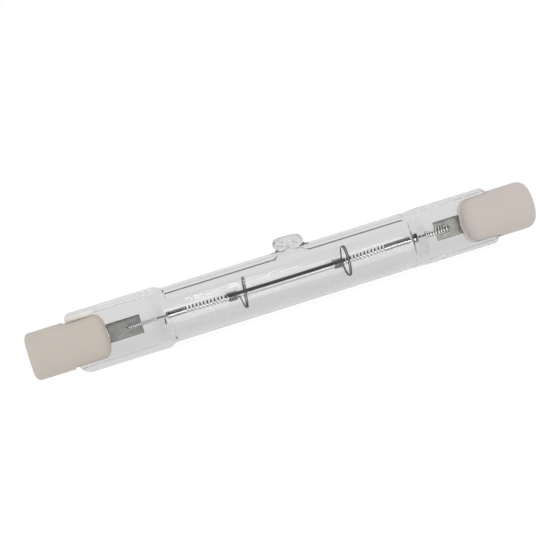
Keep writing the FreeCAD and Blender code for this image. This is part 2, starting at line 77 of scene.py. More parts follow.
class Side(Enum):
    """The two ends of the lamp, by the sign of their X."""

    LEFT = -1
    RIGHT = 1

    @property
    def word(self) -> str:
        """The word that ends the names of this side's nodes."""
        return self.name.lower()


class Slot(Enum):
    """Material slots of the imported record."""

    QUARTZ = "quartz_glass"
    TUNGSTEN = "tungsten"
    FOIL = "molybdenum_foil"
    LEAD = "molybdenum_wire"
    NICKEL = "nickel"
    CEMENT = "sealing_cement"
    CERAMIC = "steatite"


def by_side(left: object, right: object) -> object:
    """The default of a dataclass field that has one value for each end of the lamp."""
    return field(default_factory=lambda: {Side.LEFT: left, Side.RIGHT: right})


class NodeSketch:
    """Adds nodes to a tree, sets their sockets and links them."""

    def __init__(self, tree: bpy.types.NodeTree) -> None:
        """Start on an empty tree.

        Args:
            tree: The tree to build in.
        """
        self.tree = tree
        tree.nodes.clear()

    def give(self, socket: bpy.types.NodeSocket, value: object) -> None:
        """Link a socket to another one, or set its constant.

        Args:
            socket: The input to feed.
            value: Another node's output, or a plain value.
        """
        if isinstance(value, bpy.types.NodeSocket):
            self.tree.links.new(value, socket)
        else:
            socket.default_value = value

    def add(self, kind: str, inputs: dict[str | int, object] | None = None,
            **settings: object) -> bpy.types.Node:
        """Add one node.

        Args:
            kind: Blender's name of the node's type.
            inputs: What each input gets, by the input's name or place.
            settings: The node's own properties.

        Returns:
            The new node.
        """
        node = self.tree.nodes.new(kind)
        for name, value in settings.items():
            setattr(node, name, value)
        for name, value in (inputs or {}).items():
            self.give(node.inputs[name], value)
        return node

    def math(self, operation: str, *values: object) -> bpy.types.NodeSocket:
        """Work out one step of arithmetic.

        Args:
            operation: Blender's name of the operation.
            values: Outputs of other nodes, or numbers.

        Returns:
            The output with the result.
        """
        node = self.tree.nodes.new("ShaderNodeMath")
        node.operation = operation
        for socket, value in zip(node.inputs, values):
            self.give(socket, value)
        return node.outputs[0]

    def noise(self, vector: bpy.types.NodeSocket, scale: float, detail: float = 3.0) -> bpy.types.NodeSocket:
        """Add a noise pattern.

        Args:
            vector: Where on the piece the pattern is read.
            scale: Cells for each metre.
            detail: Number of finer layers.

        Returns:
            The output that runs from 0 to 1.
        """
        return self.add("ShaderNodeTexNoise", {"Vector": vector, "Scale": scale, "Detail": detail}).outputs[0]

    def ramp(self, value: object, start: object, end: object) -> bpy.types.NodeSocket:
        """Rise from 0 to 1 as a value goes from start to end.

        Args:
            value: The value's output.
            start: Where the ramp leaves 0.
            end: Where it reaches 1; under start the ramp runs the other way.

        Returns:
            The output that stays from 0 to 1.
        """
        stretch = {"Value": value, "From Min": start, "From Max": end}
        return self.add("ShaderNodeMapRange", stretch, clamp=True).outputs[0]

    def place(self, stretch: Sequence[float] = (1, 1, 1)) -> bpy.types.NodeSocket:
        """Give the place on the piece, in metres.

        Args:
            stretch: Factors on the three directions, for patterns that are longer one way.

        Returns:
            The output with the place.
        """
        coordinates = self.add("ShaderNodeTexCoord").outputs["Object"]
        return self.add("ShaderNodeMapping", {"Vector": coordinates, "Scale": stretch}).outputs[0]

    def shade(self, factor: bpy.types.NodeSocket, low: Sequence[float], high: Sequence[float],
              start: float = 0.3, end: float = 0.7) -> bpy.types.NodeSocket:
        """Turn a factor into a colour between two others.

        Args:
            factor: The factor.
            low: Colour where the factor is at or under start.
            high: Colour where it is at or over end.
            start: Where the change starts.
            end: Where the change ends.

        Returns:
            The output with the colour.
        """
        ramp = self.add("ShaderNodeValToRGB", {0: factor})
        for stop, place, colour in zip(ramp.color_ramp.elements, (start, end), (low, high)):
            stop.position = place
            stop.color = (*colour, 1)
        return ramp.outputs[0]

    def bump(self, height: bpy.types.NodeSocket, depth: float, strength: float = 1.0) -> bpy.types.NodeSocket:
        """Turn a height into a bumped normal.

        Args:
            height: The height, from 0 to 1.
            depth: Depth of the relief in metres.
            strength: Share of the relief that shows.

        Returns:
            The output with the normal.
        """
        relief = {"Height": height, "Distance": depth, "Strength": strength}
        return self.add("ShaderNodeBump", relief).outputs[0]

    def darken(self, colour: Socket, where: Socket, share: float) -> Socket:
        """Darken a colour in one zone.

        Args:
            colour: The colour.
            where: 1 in the zone, 0 outside it.
            share: Share of the colour that is left in the zone.

        Returns:
            The output with the colour.
        """
        kept = self.math("SUBTRACT", 1.0, self.math("MULTIPLY", where, 1 - share))
        return self.add("ShaderNodeVectorMath", {0: colour, "Scale": kept}, operation="SCALE").outputs[0]

    def part(self, vector: Socket, axis: str) -> Socket:
        """One part of a vector, by the name of its axis."""
        return self.add("ShaderNodeSeparateXYZ", {0: vector}).outputs[axis]


def new_material(name: str) -> tuple[bpy.types.Material, NodeSketch]:
    """Start a material with an empty tree.

    Args:
        name: The material's name.

    Returns:
        The material and the sketch of its tree.
    """
    material = bpy.data.materials.new(name)
    material.use_nodes = True
    return material, NodeSketch(material.node_tree)


def finish_with(sketch: NodeSketch, inputs: dict[str | int, object]) -> None:
    """End a material's tree with a Principled shader.

    Args:
        sketch: The material's tree.
        inputs: What the shader's inputs get.
    """
    shader = sketch.add("ShaderNodeBsdfPrincipled", inputs)
    sketch.add("ShaderNodeOutputMaterial", {"Surface": shader.outputs[0]})


def rgb(red: int, green: int, blue: int) -> Colour:
    """Change a screen colour to a linear one.

    Args:
        red: Red from 0 to 255.
        green: Green from 0 to 255.
        blue: Blue from 0 to 255.

    Returns:
        The three linear parts.
    """
    parts = [part / 255 for part in (red, green, blue)]
    return tuple(part / 12.92 if part <= 0.04045 else ((part + 0.055) / 1.055) ** 2.4 for part in parts)


def grey(level: int) -> Colour:
    """A neutral screen colour from 0 to 255, as a linear one."""
    return rgb(level, level, level)


@dataclass(frozen=True)
class QuartzFinish:
    """Clear fused quartz, drawn and pressed, with faint flow marks and a greyer underside.

    Heights are over the table. The limb is the rim that a rounded piece shows where it turns out of sight; below a limb
    share of 1 the colour is darkened on the upper limb, as painted shade that draws a dark outline.
    """

    name: str
    pale: Colour
    deep: Colour
    ripple: float
    deep_below: float = 2.6 * MM
    pale_above: float = 6.6 * MM
    pale_foot: tuple[float, float] = (2.0 * MM, 0.7 * MM)
    foot_share: float = 0.6
    uneven: float = 2.4 * MM
    cells: float = 260.0
    ior: float = 1.458
    coat: float = 0.0
    # Share of the colour left on the upper limb under its painted shade; 1 paints none.
    limb: float = 1.0
    limb_facing: tuple[float, float] = (0.35, 0.85)
    limb_above: float = 9.2 * MM
    limb_soft: float = 0.3 * MM

    def material(self) -> bpy.types.Material:
        """Build the material."""
        material, sketch = new_material(self.name)
        cloud = sketch.noise(sketch.place((0.4, 1, 1)), self.cells)
        streaks = sketch.noise(sketch.place((0.25, 1, 1)), 3 * self.cells, 4.0)
        height = sketch.part(sketch.place(), "Z")
        lowered = sketch.math("SUBTRACT", height, self.uneven / 2)
        uneven = sketch.math("MULTIPLY_ADD", cloud, self.uneven, lowered)
        raised = sketch.ramp(uneven, self.deep_below, self.pale_above)
        foot = sketch.math("MULTIPLY", sketch.ramp(uneven, *self.pale_foot), self.foot_share)
        colour = sketch.shade(sketch.math("MAXIMUM", raised, foot), self.deep, self.pale, 0.0, 1.0)
        # Painted shade: high on the piece, where the surface turns away from view, the colour is darkened into a dark
        # outline.
        if self.limb < 1:
            facing = sketch.add("ShaderNodeLayerWeight", {"Blend": 0.5}).outputs["Facing"]
            high = sketch.ramp(height, self.limb_above, self.limb_above + self.limb_soft)
            limb_shade_mask = sketch.math("MULTIPLY", sketch.ramp(facing, *self.limb_facing), high)
            colour = sketch.darken(colour, limb_shade_mask, self.limb)
        finish_with(sketch, {
            "Base Color": colour,
            "Roughness": 0.0,
            "IOR": self.ior,
            "Transmission Weight": 1.0,
            "Coat Weight": self.coat,
            "Normal": sketch.bump(streaks, self.ripple, 0.6),
        })
        return material


@dataclass(frozen=True)
class WireFinish:
    """Drawn wire, with fine lines along it and small changes of tone."""

    name: str
    dark: Colour
    light: Colour
    roughness: float

    def material(self) -> bpy.types.Material:
        """Build the material."""
        material, sketch = new_material(self.name)
        tone = sketch.noise(sketch.place(), 2500.0)
        grain = sketch.noise(sketch.place(), 16000.0, 2.0)
        finish_with(sketch, {
            "Base Color": sketch.shade(tone, self.dark, self.light),
            "Metallic": 1.0,
            "Roughness": self.roughness,
            "Normal": sketch.bump(grain, 0.004 * MM),
        })
        return material


@dataclass(frozen=True)
class CoilFinish:
    """Coiled tungsten, near-black as painted shade for the dark surroundings that it reflects, with a painted
    highlight: a bright band along its underside.
    """

    name: str
    # Near-black tone: painted shade for the dark surroundings that the wire reflects.
    shaded_tone: Colour
    # Colour of the painted highlight band.
    bright: Colour
    # Levels in the coil between which the painted highlight band lies.
    highlight_band: tuple[float, float] = (0.2, 0.43)
    soft: float = 0.05
    roughness: float = 0.2

    def material(self) -> bpy.types.Material:
        """Build the material."""
        material, sketch = new_material(self.name)
        level = sketch.add("ShaderNodeAttribute", attribute_name=LEVEL).outputs["Fac"]
        specks = sketch.noise(sketch.place(), 9000.0, 2.0)
        uneven = sketch.math("MULTIPLY_ADD", specks, 0.1, sketch.math("SUBTRACT", level, 0.05))
        # Painted highlight: a bright band low on each turn, between two levels of the coil.
        above = sketch.ramp(uneven, self.highlight_band[0] - self.soft, self.highlight_band[0])
        below = sketch.ramp(uneven, self.highlight_band[1] + self.soft, self.highlight_band[1])
        painted_highlight = sketch.math("MULTIPLY", above, below)
        finish_with(sketch, {
            "Base Color": sketch.shade(painted_highlight, self.shaded_tone, self.bright, 0.0, 1.0),
            "Metallic": 1.0,
            "Roughness": self.roughness,
            "Normal": sketch.bump(specks, 0.004 * MM),
        })
        return material


@dataclass(frozen=True)
class FoilFinish:
    """Rolled molybdenum foil, satin, with a different tone towards its outer end beside the cap."""

    name: str
    satin: Colour
    cloudy: Colour
    end_tone: Colour
    end_tone_from: float
    end_tone_to: float
    edge_shade: float = 0.72
    edge_highlight_band: tuple[float, float] = (0.5 * MM, 0.15 * MM)

    def material(self, top: float) -> bpy.types.Material:
        """Build the material.

        Args:
            top: Height of the foil's upper edge, along which it is darker.

        Returns:
            The material.
        """
        material, sketch = new_material(self.name)
        tone = sketch.shade(sketch.noise(sketch.place((1, 1, 2.5)), 500.0), self.cloudy, self.satin)
        along = sketch.math("ABSOLUTE", sketch.part(sketch.place(), "X"))
        uneven = sketch.math("MULTIPLY_ADD", sketch.noise(sketch.place(), 1800.0), 0.8 * MM, along)
        mixed = sketch.add("ShaderNodeMix", data_type="RGBA")
        sketch.give(mixed.inputs[0], sketch.ramp(uneven, self.end_tone_from, self.end_tone_to))
        sketch.give(mixed.inputs[6], tone)
        sketch.give(mixed.inputs[7], (*self.end_tone, 1))
        rolling = sketch.noise(sketch.place((0.1, 1, 3)), 4000.0, 2.0)
        edge = sketch.ramp(sketch.part(sketch.place(), "Z"), top - self.edge_highlight_band[0], top - self.edge_highlight_band[1])
        finish_with(sketch, {
            "Base Color": sketch.darken(mixed.outputs[2], edge, self.edge_shade),
            "Metallic": 1.0,
            "Roughness": 0.42,
            "Normal": sketch.bump(rolling, 0.01 * MM),
        })
        return material


@dataclass(frozen=True)
class CeramicFinish:
    """Unglazed steatite: matt, faintly mottled, with a fine pressed grain."""

    name: str
    warm: Colour
    cool: Colour
    grain_depth: float = 0.03 * MM
    roughness: float = 0.72

    def material(self) -> bpy.types.Material:
        """Build the material."""
        material, sketch = new_material(self.name)
        mottle = sketch.noise(sketch.place(), 210.0)
        grain = sketch.noise(sketch.place(), 5200.0, 5.0)
        finish_with(sketch, {
            "Base Color": sketch.shade(mottle, self.cool, self.warm, 0.38, 0.62),
            "Roughness": self.roughness,
            "Specular IOR Level": 0.3,
            "Normal": sketch.bump(grain, self.grain_depth, 0.5),
        })
        return material


@dataclass(frozen=True)
class PlatedFinish:
    """Plated contact metal, satin, with turning marks and light wear."""

    name: str
    bright: Colour
    worn: Colour

    def material(self) -> bpy.types.Material:
        """Build the material."""
        material, sketch = new_material(self.name)
        wear = sketch.noise(sketch.place(), 900.0)
        marks = sketch.noise(sketch.place((3, 1, 1)), 7000.0, 2.0)
        finish_with(sketch, {
            "Base Color": sketch.shade(wear, self.worn, self.bright),
            "Metallic": 1.0,
            "Roughness": 0.3,
            "Normal": sketch.bump(marks, 0.008 * MM),
        })
        return material


CLEAR, CLOUDED = (0.995, 0.995, 0.995), (0.97, 0.97, 0.97)
QUARTZ_OUTSIDE = QuartzFinish("quartz", grey(216), grey(204), 0.0006 * MM)
QUARTZ_BORE = QuartzFinish("quartz_bore", CLEAR, CLOUDED, 0.0003 * MM)
SEAL_OUTSIDE = QuartzFinish("quartz_seal", grey(216), grey(203), 0.02 * MM, ior=1.15, coat=0.5)
SEAL_BORE = QuartzFinish("quartz_seal_bore", CLEAR, CLOUDED, 0.004 * MM, ior=1.1)
# The tip's colour is darkened along its upper limb: painted shade that draws its dark outline.
TIP_OUTSIDE = QuartzFinish("quartz_tip", grey(212), grey(206), 0.03 * MM, ior=1.2, coat=0.5, limb=0.12)
# Near-black painted shade with a white painted highlight band along the coil's underside.
TUNGSTEN_COIL = CoilFinish("tungsten_coil", (0.008, 0.008, 0.008), (0.99, 0.99, 0.99))
TUNGSTEN_SUPPORT = WireFinish("tungsten_support", (0.01, 0.01, 0.01), (0.05, 0.05, 0.05), 0.25)
TUNGSTEN_LEAD = WireFinish("tungsten_lead", (0.1, 0.1, 0.1), (0.3, 0.3, 0.3), 0.3)
WINDING_PALE = WireFinish("winding_pale", (0.92, 0.92, 0.91), (0.98, 0.98, 0.97), 0.28)
LEAD_WIRE = WireFinish("molybdenum_lead", (0.38, 0.38, 0.37), (0.5, 0.5, 0.49), 0.35)
FOILS = {
    Side.LEFT: FoilFinish("foil_left", rgb(141, 142, 139), rgb(120, 121, 118), rgb(122, 122, 118),
                          end_tone_from=27.5 * MM, end_tone_to=29.5 * MM),
    Side.RIGHT: FoilFinish("foil_right", rgb(165, 165, 162), rgb(145, 145, 142), rgb(176, 170, 162),
                           end_tone_from=26.4 * MM, end_tone_to=28.4 * MM),
}
CERAMICS = {
    Side.LEFT: CeramicFinish("steatite_left", rgb(200, 189, 180), rgb(195, 188, 178)),
    Side.RIGHT: CeramicFinish("steatite_right", rgb(204, 193, 188), rgb(199, 191, 184)),
}
CEMENTS = {
    Side.LEFT: CeramicFinish("sealing_cement_left", rgb(234, 230, 223), rgb(222, 217, 210),
                             grain_depth=0.08 * MM, roughness=0.85),
    Side.RIGHT: CeramicFinish("sealing_cement_right", rgb(209, 200, 194), rgb(202, 193, 186),
                              grain_depth=0.08 * MM, roughness=0.85),
}
NICKEL = PlatedFinish("nickel", (0.66, 0.62, 0.55), (0.5, 0.46, 0.4))


def smooth_step(value: np.ndarray | float, start: float, end: float) -> np.ndarray:
    """Rise smoothly from 0 to 1.

    Args:
        value: Where to read the curve.
        start: Where it leaves 0.
        end: Where it reaches 1.

    Returns:
        The curve's height.
    """
    share = np.clip((np.asarray(value, float) - start) / (end - start), 0, 1)
    return share * share * (3 - 2 * share)


def even_points(corners: Sequence[tuple[float, float]], count: int, soften: int = 0) -> np.ndarray:
    """Spread points evenly along a line through corners.

    Args:
        corners: The line's corners.
        count: Number of points, both ends among them.
        soften: How many times the line is averaged with its neighbours, which rounds its corners.

    Returns:
        The points, one row each.
    """
    line = np.asarray(corners, float)
    for points in (400, count):
        reach = np.concatenate([[0], np.cumsum(np.linalg.norm(np.diff(line, axis=0), axis=1))])
        steps = np.linspace(0, reach[-1], points)
        line = np.column_stack([np.interp(steps, reach, line[:, axis]) for axis in range(line.shape[1])])
        if points == 400:
            for _ in range(soften):
                line[1:-1] = (line[:-2] + 2 * line[1:-1] + line[2:]) / 4
    return line


def stations(*stretches: tuple[float, float, float]) -> np.ndarray:
    """Places along the lamp, close together where the shape changes.

    Args:
        stretches: The start, end and step of each stretch.

    Returns:
        All places in order.
    """
    parts = [np.linspace(start, end, max(round(abs(end - start) / step), 1) + 1)
             for start, end, step in stretches]
    return np.unique(np.round(np.concatenate(parts), 9))


def mesh_object(name: str, vertices: np.ndarray, faces: list[Sequence[int]],
                smooth: bool = True) -> bpy.types.Object:
    """Make an object from plain lists, with its faces turned outwards.

    Args:
        name: The object's name.
        vertices: Its corners.
        faces: Its faces, by the numbers of their corners.
        smooth: Whether the faces are shaded as one curved surface.

    Returns:
        The new object, at the origin.
    """
    mesh = bpy.data.meshes.new(name)
    mesh.from_pydata([tuple(map(float, vertex)) for vertex in vertices], [], faces)
    work = bmesh.new()
    work.from_mesh(mesh)
    bmesh.ops.recalc_face_normals(work, faces=work.faces)
    work.to_mesh(mesh)
    work.free()
    mesh.shade_smooth() if smooth else mesh.shade_flat()
    piece = bpy.data.objects.new(name, mesh)
    bpy.context.scene.collection.objects.link(piece)
    return piece


def ring_faces(rings: int, sides: int, first: int = 0) -> list[tuple[int, ...]]:
    """Faces of a closed skin over rings of points.

    Args:
        rings: Number of rings.
        sides: Points in each ring.
        first: Number of the skin's first point.

    Returns:
        The skin's quads and its two end faces.
    """
    faces = [(first + row * sides + column, first + row * sides + (column + 1) % sides,
              first + (row + 1) * sides + (column + 1) % sides, first + (row + 1) * sides + column)
             for row in range(rings - 1) for column in range(sides)]
    faces.append(tuple(range(first, first + sides)))
    faces.append(tuple(range(first + (rings - 1) * sides, first + rings * sides)))
    return faces


def slab_faces(rows: int, columns: int, first: int = 0) -> list[tuple[int, ...]]:
    """Faces of a slab: two grids of points, one behind the other, closed along their border.

    Args:
        rows: Number of rows in each grid.
        columns: Number of points in each row.
        first: Number of the slab's first point.

    Returns:
        The slab's quads.
    """
    count = rows * columns
    corners = [first + grid * count + row * columns + column
               for grid in (0, 1) for row in range(rows - 1) for column in range(columns - 1)]
    faces = [(corner, corner + 1, corner + columns + 1, corner + columns) for corner in corners]
    border = [row * columns for row in range(rows)]
    border += [(rows - 1) * columns + column for column in range(1, columns)]
    border += [row * columns + columns - 1 for row in range(rows - 2, -1, -1)]
    border += [column for column in range(columns - 2, 0, -1)]
    faces += [(first + before, first + after, first + after + count, first + before + count)
              for before, after in zip([border[-1], *border], border)]
    return faces


def turned_piece(name: str, outline: np.ndarray, sides: int, centre: float) -> bpy.types.Object:
    """Turn a closed outline round the lamp's axis.

    Args:
        name: The object's name.
        outline: Points of (along, radius), closed from the last to the first.
        sides: Points round the axis.
        centre: Height of the axis.

    Returns:
        The new object.
    """
    angles = np.arange(sides) * 2 * math.pi / sides
    rings = [[(along, radius * math.sin(angle), centre + radius * math.cos(angle)) for angle in angles]
             for along, radius in outline]
    count = len(outline)
    faces = [(row * sides + column, row * sides + (column + 1) % sides,
              (row + 1) % count * sides + (column + 1) % sides, (row + 1) % count * sides + column)
             for row in range(count) for column in range(sides)]
    return mesh_object(name, np.array(rings).reshape(-1, 3), faces)


def arc(centre: tuple[float, float], reach: tuple[float, float], first: float, last: float,
        count: int) -> list[tuple[float, float]]:
    """Points of part of an oval.

    Args:
        centre: The oval's centre.
        reach: Its half sizes.
        first: First angle in degrees.
        last: Last angle in degrees.
        count: Number of steps.

    Returns:
        The points in order.
    """
    angles = np.radians(np.linspace(first, last, count + 1))
    return [(centre[0] + reach[0] * math.cos(angle), centre[1] + reach[1] * math.sin(angle))
            for angle in angles]


def apply_modifiers(piece: bpy.types.Object) -> None:
    """Bake an object's modifiers into its mesh.

    Args:
        piece: The object.
    """
    bpy.context.view_layer.update()
    graph = bpy.context.evaluated_depsgraph_get()
    mesh = bpy.data.meshes.new_from_object(piece.evaluated_get(graph))
    piece.modifiers.clear()
    piece.data = mesh


def report(piece: bpy.types.Object, slot: Slot, *nodes: str) -> bpy.types.Object:
    """Seat a finished piece on the frame and log it.

    Args:
        piece: The piece.
        slot: The record's slot that matches the piece; not used.
        nodes: The CAD nodes that it stands for.

    Returns:
        The same piece.
    """
    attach(piece, BODY)
    if nodes:
        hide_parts(*nodes)
    log.info("%s: %d faces, for %s", piece.name, len(piece.data.polygons), ", ".join(nodes) or "detail")
    return piece


@dataclass
class LampPlaces:
    """Places of the lamp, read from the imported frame."""

    axis: float = 0.0
    tube_radius: float = 0.0
    pinch_end: float = 0.0
    pinch_half: dict[Side, float] = field(default_factory=dict)
    barrel_middle: float = 0.0
    cheek_end: dict[Side, float] = field(default_factory=dict)
    cap_end: float = 0.0
    cap_radius: float = 0.0

    @classmethod
    def read(cls, glass: bpy.types.Object) -> "LampPlaces":
        """Read the places from the nodes.

        Args:
            glass: The envelope's CAD node.

        Returns:
            The places.
        """
        _, glass_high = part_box("envelope")
        cap_low, cap_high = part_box("cap_right")
        contact_low, contact_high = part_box("contact_right")
        filament_low, filament_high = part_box("filament")
        axis = (contact_low.z + contact_high.z) / 2
        corners = [vertex.co for vertex in glass.data.vertices]
        halves = {side: max(abs(corner.z - axis) for corner in corners
                            if corner.x * side.value > 0.9 * glass_high.x) for side in Side}
        return cls(axis=axis, tube_radius=glass_high.y, pinch_end=glass_high.x, pinch_half=halves,
                   barrel_middle=(filament_low.x + filament_high.x) / 2,
                   cheek_end={Side.LEFT: -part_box("cap_left")[1].x, Side.RIGHT: cap_low.x}, cap_end=cap_high.x,
                   cap_radius=cap_high.z - axis)

    def side(self, along: float) -> Side:
        """The side of the round tube's middle that a place lies on."""
        return Side.RIGHT if along > self.barrel_middle else Side.LEFT


@dataclass
class Envelope:
    """The quartz envelope: a round tube with a sealed tip, pressed flat into a ribbed seal at both ends."""

    places: LampPlaces
    sides: int = 176
    shoulder_start: float = 18.6 * MM
    shoulder_end: float = 21.9 * MM
    spread_end: float = 20.15 * MM
    web_half: float = 1.05 * MM
    rim_half: float = 1.6 * MM
    rim_root: float = 3.65 * MM
    rim_round: float = 0.5 * MM
    rim_share: float = 0.4
    corner: float = 0.9 * MM
    corner_large: float = 2.0 * MM
    edge_round: float = 0.28 * MM
    flow_depth: float = 0.014 * MM
    tip_offset: float = 1.1 * MM
    tip_reach: float = 3.3 * MM
    tip_height: float = 1.85 * MM
    tip_half: float = 2.33 * MM
    tip_lean: float = 0.045
    soft_start: dict[Side, float] = by_side(18.8 * MM, 19.4 * MM)
    soft_bore: float = 18.8 * MM
    bore_radius: float = 3.1 * MM
    bore_flat_start: float = 18.1 * MM
    bore_corner_start: float = 18.9 * MM
    bore_end_half: float = 2.0 * MM
    bore_end: float = 21.0 * MM
    bore_end_thin: float = 0.06 * MM
    bore_late: dict[Side, float] = by_side(0.75 * MM, 0.0)
    bore_sides: int = 96
    funnel_reach: float = 3.0 * MM
    funnel_rise: float = 1.75 * MM
    bubble_rings: int = 8
    bubble_sides: int = 10
    bubbles: tuple[tuple[float, float, float, float, float], ...] = (
        (-1.75, -0.35, 1.25, 0.16, 0.16), (-1.45, -0.75, 0.7, 0.2, 0.1), (-1.2, -0.3, 1.35, 0.09, 0.09),
        (-0.95, -0.8, 0.55, 0.24, 0.09), (-0.7, -0.5, 1.05, 0.1, 0.12), (-1.55, -0.2, 0.25, 0.12, 0.18),
        (-0.35, -0.6, 0.35, 0.1, 0.08), (0.75, -0.65, 0.75, 0.1, 0.14), (1.05, -0.4, 0.5, 0.14, 0.08),
        (0.55, -0.7, 0.3, 0.16, 0.06), (1.7, -0.3, 0.9, 0.06, 0.1))

    @property
    def tip_place(self) -> float:
        """The tip's middle along the lamp."""
        return self.places.barrel_middle + self.tip_offset

    def quarter_section(self, side: Side) -> np.ndarray:
        """A quarter of the seal's section, from the rim's top to the web's middle."""
        half, rounded = self.places.pinch_half[side], self.rim_round
        points = self.sides // 4
        in_rim = round(points * self.rim_share)
        corner = arc((half - rounded, self.rim_half - rounded), (rounded, rounded), 0, 90, 8)
        root = min(self.rim_root + 0.3 * MM, half - rounded)
        rim = [(0, half), (self.rim_half - rounded, half), *((y, z) for z, y in corner),
               (self.rim_half, root), (self.web_half, self.rim_root)]
        web = [(self.web_half, self.rim_root), (self.web_half, 0)]
        return np.vstack([even_points(rim, in_rim + 1, 60)[:-1],
                          even_points(web, points - in_rim + 1)])[:points]

    def pinch_section(self, side: Side) -> np.ndarray:
        """The seal's whole section, as points of (across, up) from the top towards +Y."""
        quarter = self.quarter_section(side)
        middle = np.array([[self.web_half, 0.0]])
        lower_right = np.column_stack([quarter[1:, 0], -quarter[1:, 1]])[::-1]
        right = np.vstack([quarter, middle, lower_right, [[0.0, -self.places.pinch_half[side]]]])
        left = np.column_stack([-right[1:-1, 0], right[1:-1, 1]])[::-1]
        return np.vstack([right, left])

    def end_limit(self, along: float, level: int) -> float:
        """Half height of the seal near its end, where its corners are rounded.

        Args:
            along: Place along the lamp.
            level: 1 for the upper rim, -1 for the lower one.

        Returns:
            The half height on that side.
        """
        radius = self.corner_large if along < 0 and level < 0 else self.corner
        past = max(abs(along) - (self.places.pinch_end - radius), 0)
        half = self.places.pinch_half[self.places.side(along)]
        return half - radius + math.sqrt(max(radius ** 2 - past ** 2, 0))

    def ring(self, along: float, pinched: np.ndarray) -> np.ndarray:
        """One ring of the outer skin.

        Args:
            along: Place along the lamp.
            pinched: The seal's section.

        Returns:
            Points of (along, across, up) from the lamp's axis.
        """
        count = len(pinched)
        angles = np.arange(count) * 2 * math.pi / count
        round_section = self.places.tube_radius * np.column_stack([np.sin(angles), np.cos(angles)])
        out = abs(along - self.places.barrel_middle)
        half = self.places.pinch_half[self.places.side(along)]
        flat = smooth_step(out, self.shoulder_start, self.shoulder_end)
        wide = smooth_step(out, self.shoulder_start, self.spread_end)
        across = round_section[:, 0] * (1 - flat) + pinched[:, 0] * flat
        up = round_section[:, 1] * (1 - wide) + pinched[:, 1] * wide
        for level in (1, -1):
            limit = self.end_limit(along, level)
            fixed = min(self.rim_root, limit - 0.05 * MM, half - self.corner - 0.05 * MM)
            beyond = (up * level > fixed) & (wide >= 1)
            share = (limit - fixed) / (half - fixed)
            up = np.where(beyond, level * (fixed + (up * level - fixed) * share), up)
        past = max(abs(along) - (self.places.pinch_end - self.edge_round), 0)
        inset = self.edge_round - math.sqrt(max(self.edge_round ** 2 - past ** 2, 0))
        across = np.sign(across) * np.maximum(np.abs(across) - inset, 0.02 * MM * (np.abs(across) > 0))
        up = np.sign(up) * np.maximum(np.abs(up) - inset, 0)
        return np.column_stack([np.full(count, along), across, up])

    def flow(self, skin: np.ndarray) -> np.ndarray:
        """Shallow waves that the press and the flame leave in the seals.

        Args:
            skin: Points of the skin.

        Returns:
            How far each point moves across the lamp, away from its middle plane.
        """
        waves = [(0.55, 0.35, 0.2), (0.9, -0.8, 1.7), (1.7, 0.5, 2.9), (0.4, 1.9, 4.1), (2.6, 1.3, 0.7)]
        along, up = skin[:, 0] / MM, skin[:, 2] / MM
        front = np.sign(skin[:, 1])
        depth = sum(np.sin(run * along + rise * up + shift + 0.9 * front)
                    for run, rise, shift in waves) / len(waves)
        out = np.abs(skin[:, 0] - self.places.barrel_middle)
        return front * depth * self.flow_depth * smooth_step(out, self.shoulder_start, self.shoulder_end)

    def tip_profile(self, leaning: float) -> np.ndarray:
        """The tip's outline from its middle to the tube, as (radius, height).

        Args:
            leaning: 0 on the side with the undercut, 1 on the side that slopes into the tube.

        Returns:
            Even points along the outline.
        """
        wide, high = self.tip_half, self.tip_height
        undercut = np.array([(0, high), (wide - 0.9 * MM, high), (wide - 0.3 * MM, high - 0.2 * MM),
                             (wide, high - 0.75 * MM), (wide - 0.06 * MM, 0.55 * MM),
                             (wide - 0.3 * MM, 0.25 * MM), (wide - 0.22 * MM, 0.02 * MM), (self.tip_reach, 0)])
        sloping = np.array([(0, high), (wide - 1.0 * MM, high - 0.02 * MM),
                            (wide - 0.35 * MM, high - 0.25 * MM), (wide - 0.02 * MM, high - 0.85 * MM),
                            (wide + 0.02 * MM, 0.55 * MM), (wide + 0.02 * MM, 0.25 * MM),
                            (wide + 0.2 * MM, 0.03 * MM), (self.tip_reach, 0)])
        return even_points(undercut * (1 - leaning) + sloping * leaning, 121, 90)

    def raise_tip(self, skin: np.ndarray) -> np.ndarray:
        """Draw the sealed tip out of the tube's top.

        Args:
            skin: Points of the outer skin, from the lamp's axis.

        Returns:
            The moved points.
        """
        radius = self.places.tube_radius
        profiles = [self.tip_profile(leaning) for leaning in np.linspace(0, 1, 9)]
        moved = skin.copy()
        near = (skin[:, 2] > 0) & (np.abs(skin[:, 0] - self.tip_place) < self.tip_reach)
        for number in np.flatnonzero(near):
            along = skin[number, 0] - self.tip_place
            around = radius * math.atan2(skin[number, 1], skin[number, 2])
            out = math.hypot(along, around)
            if out >= self.tip_reach:
                continue
            run, side = (along / out, around / out) if out else (0.0, 0.0)
            profile = profiles[round(4 + 4 * run)]
            place = out / self.tip_reach * (len(profile) - 1)
            low = min(int(place), len(profile) - 2)
            reach, height = profile[low] + (profile[low + 1] - profile[low]) * (place - low)
            angle = reach * side / radius
            raised = float(smooth_step(height, 0, 0.7 * MM))
            across = radius * math.sin(angle) * (1 - raised) + reach * side * raised
            up = radius * math.cos(angle) * (1 - raised) + radius * raised
            moved[number] = (self.tip_place + reach * run + self.tip_lean * height, across,
                             up + height - self.tip_lean * reach * run * raised)
        return moved

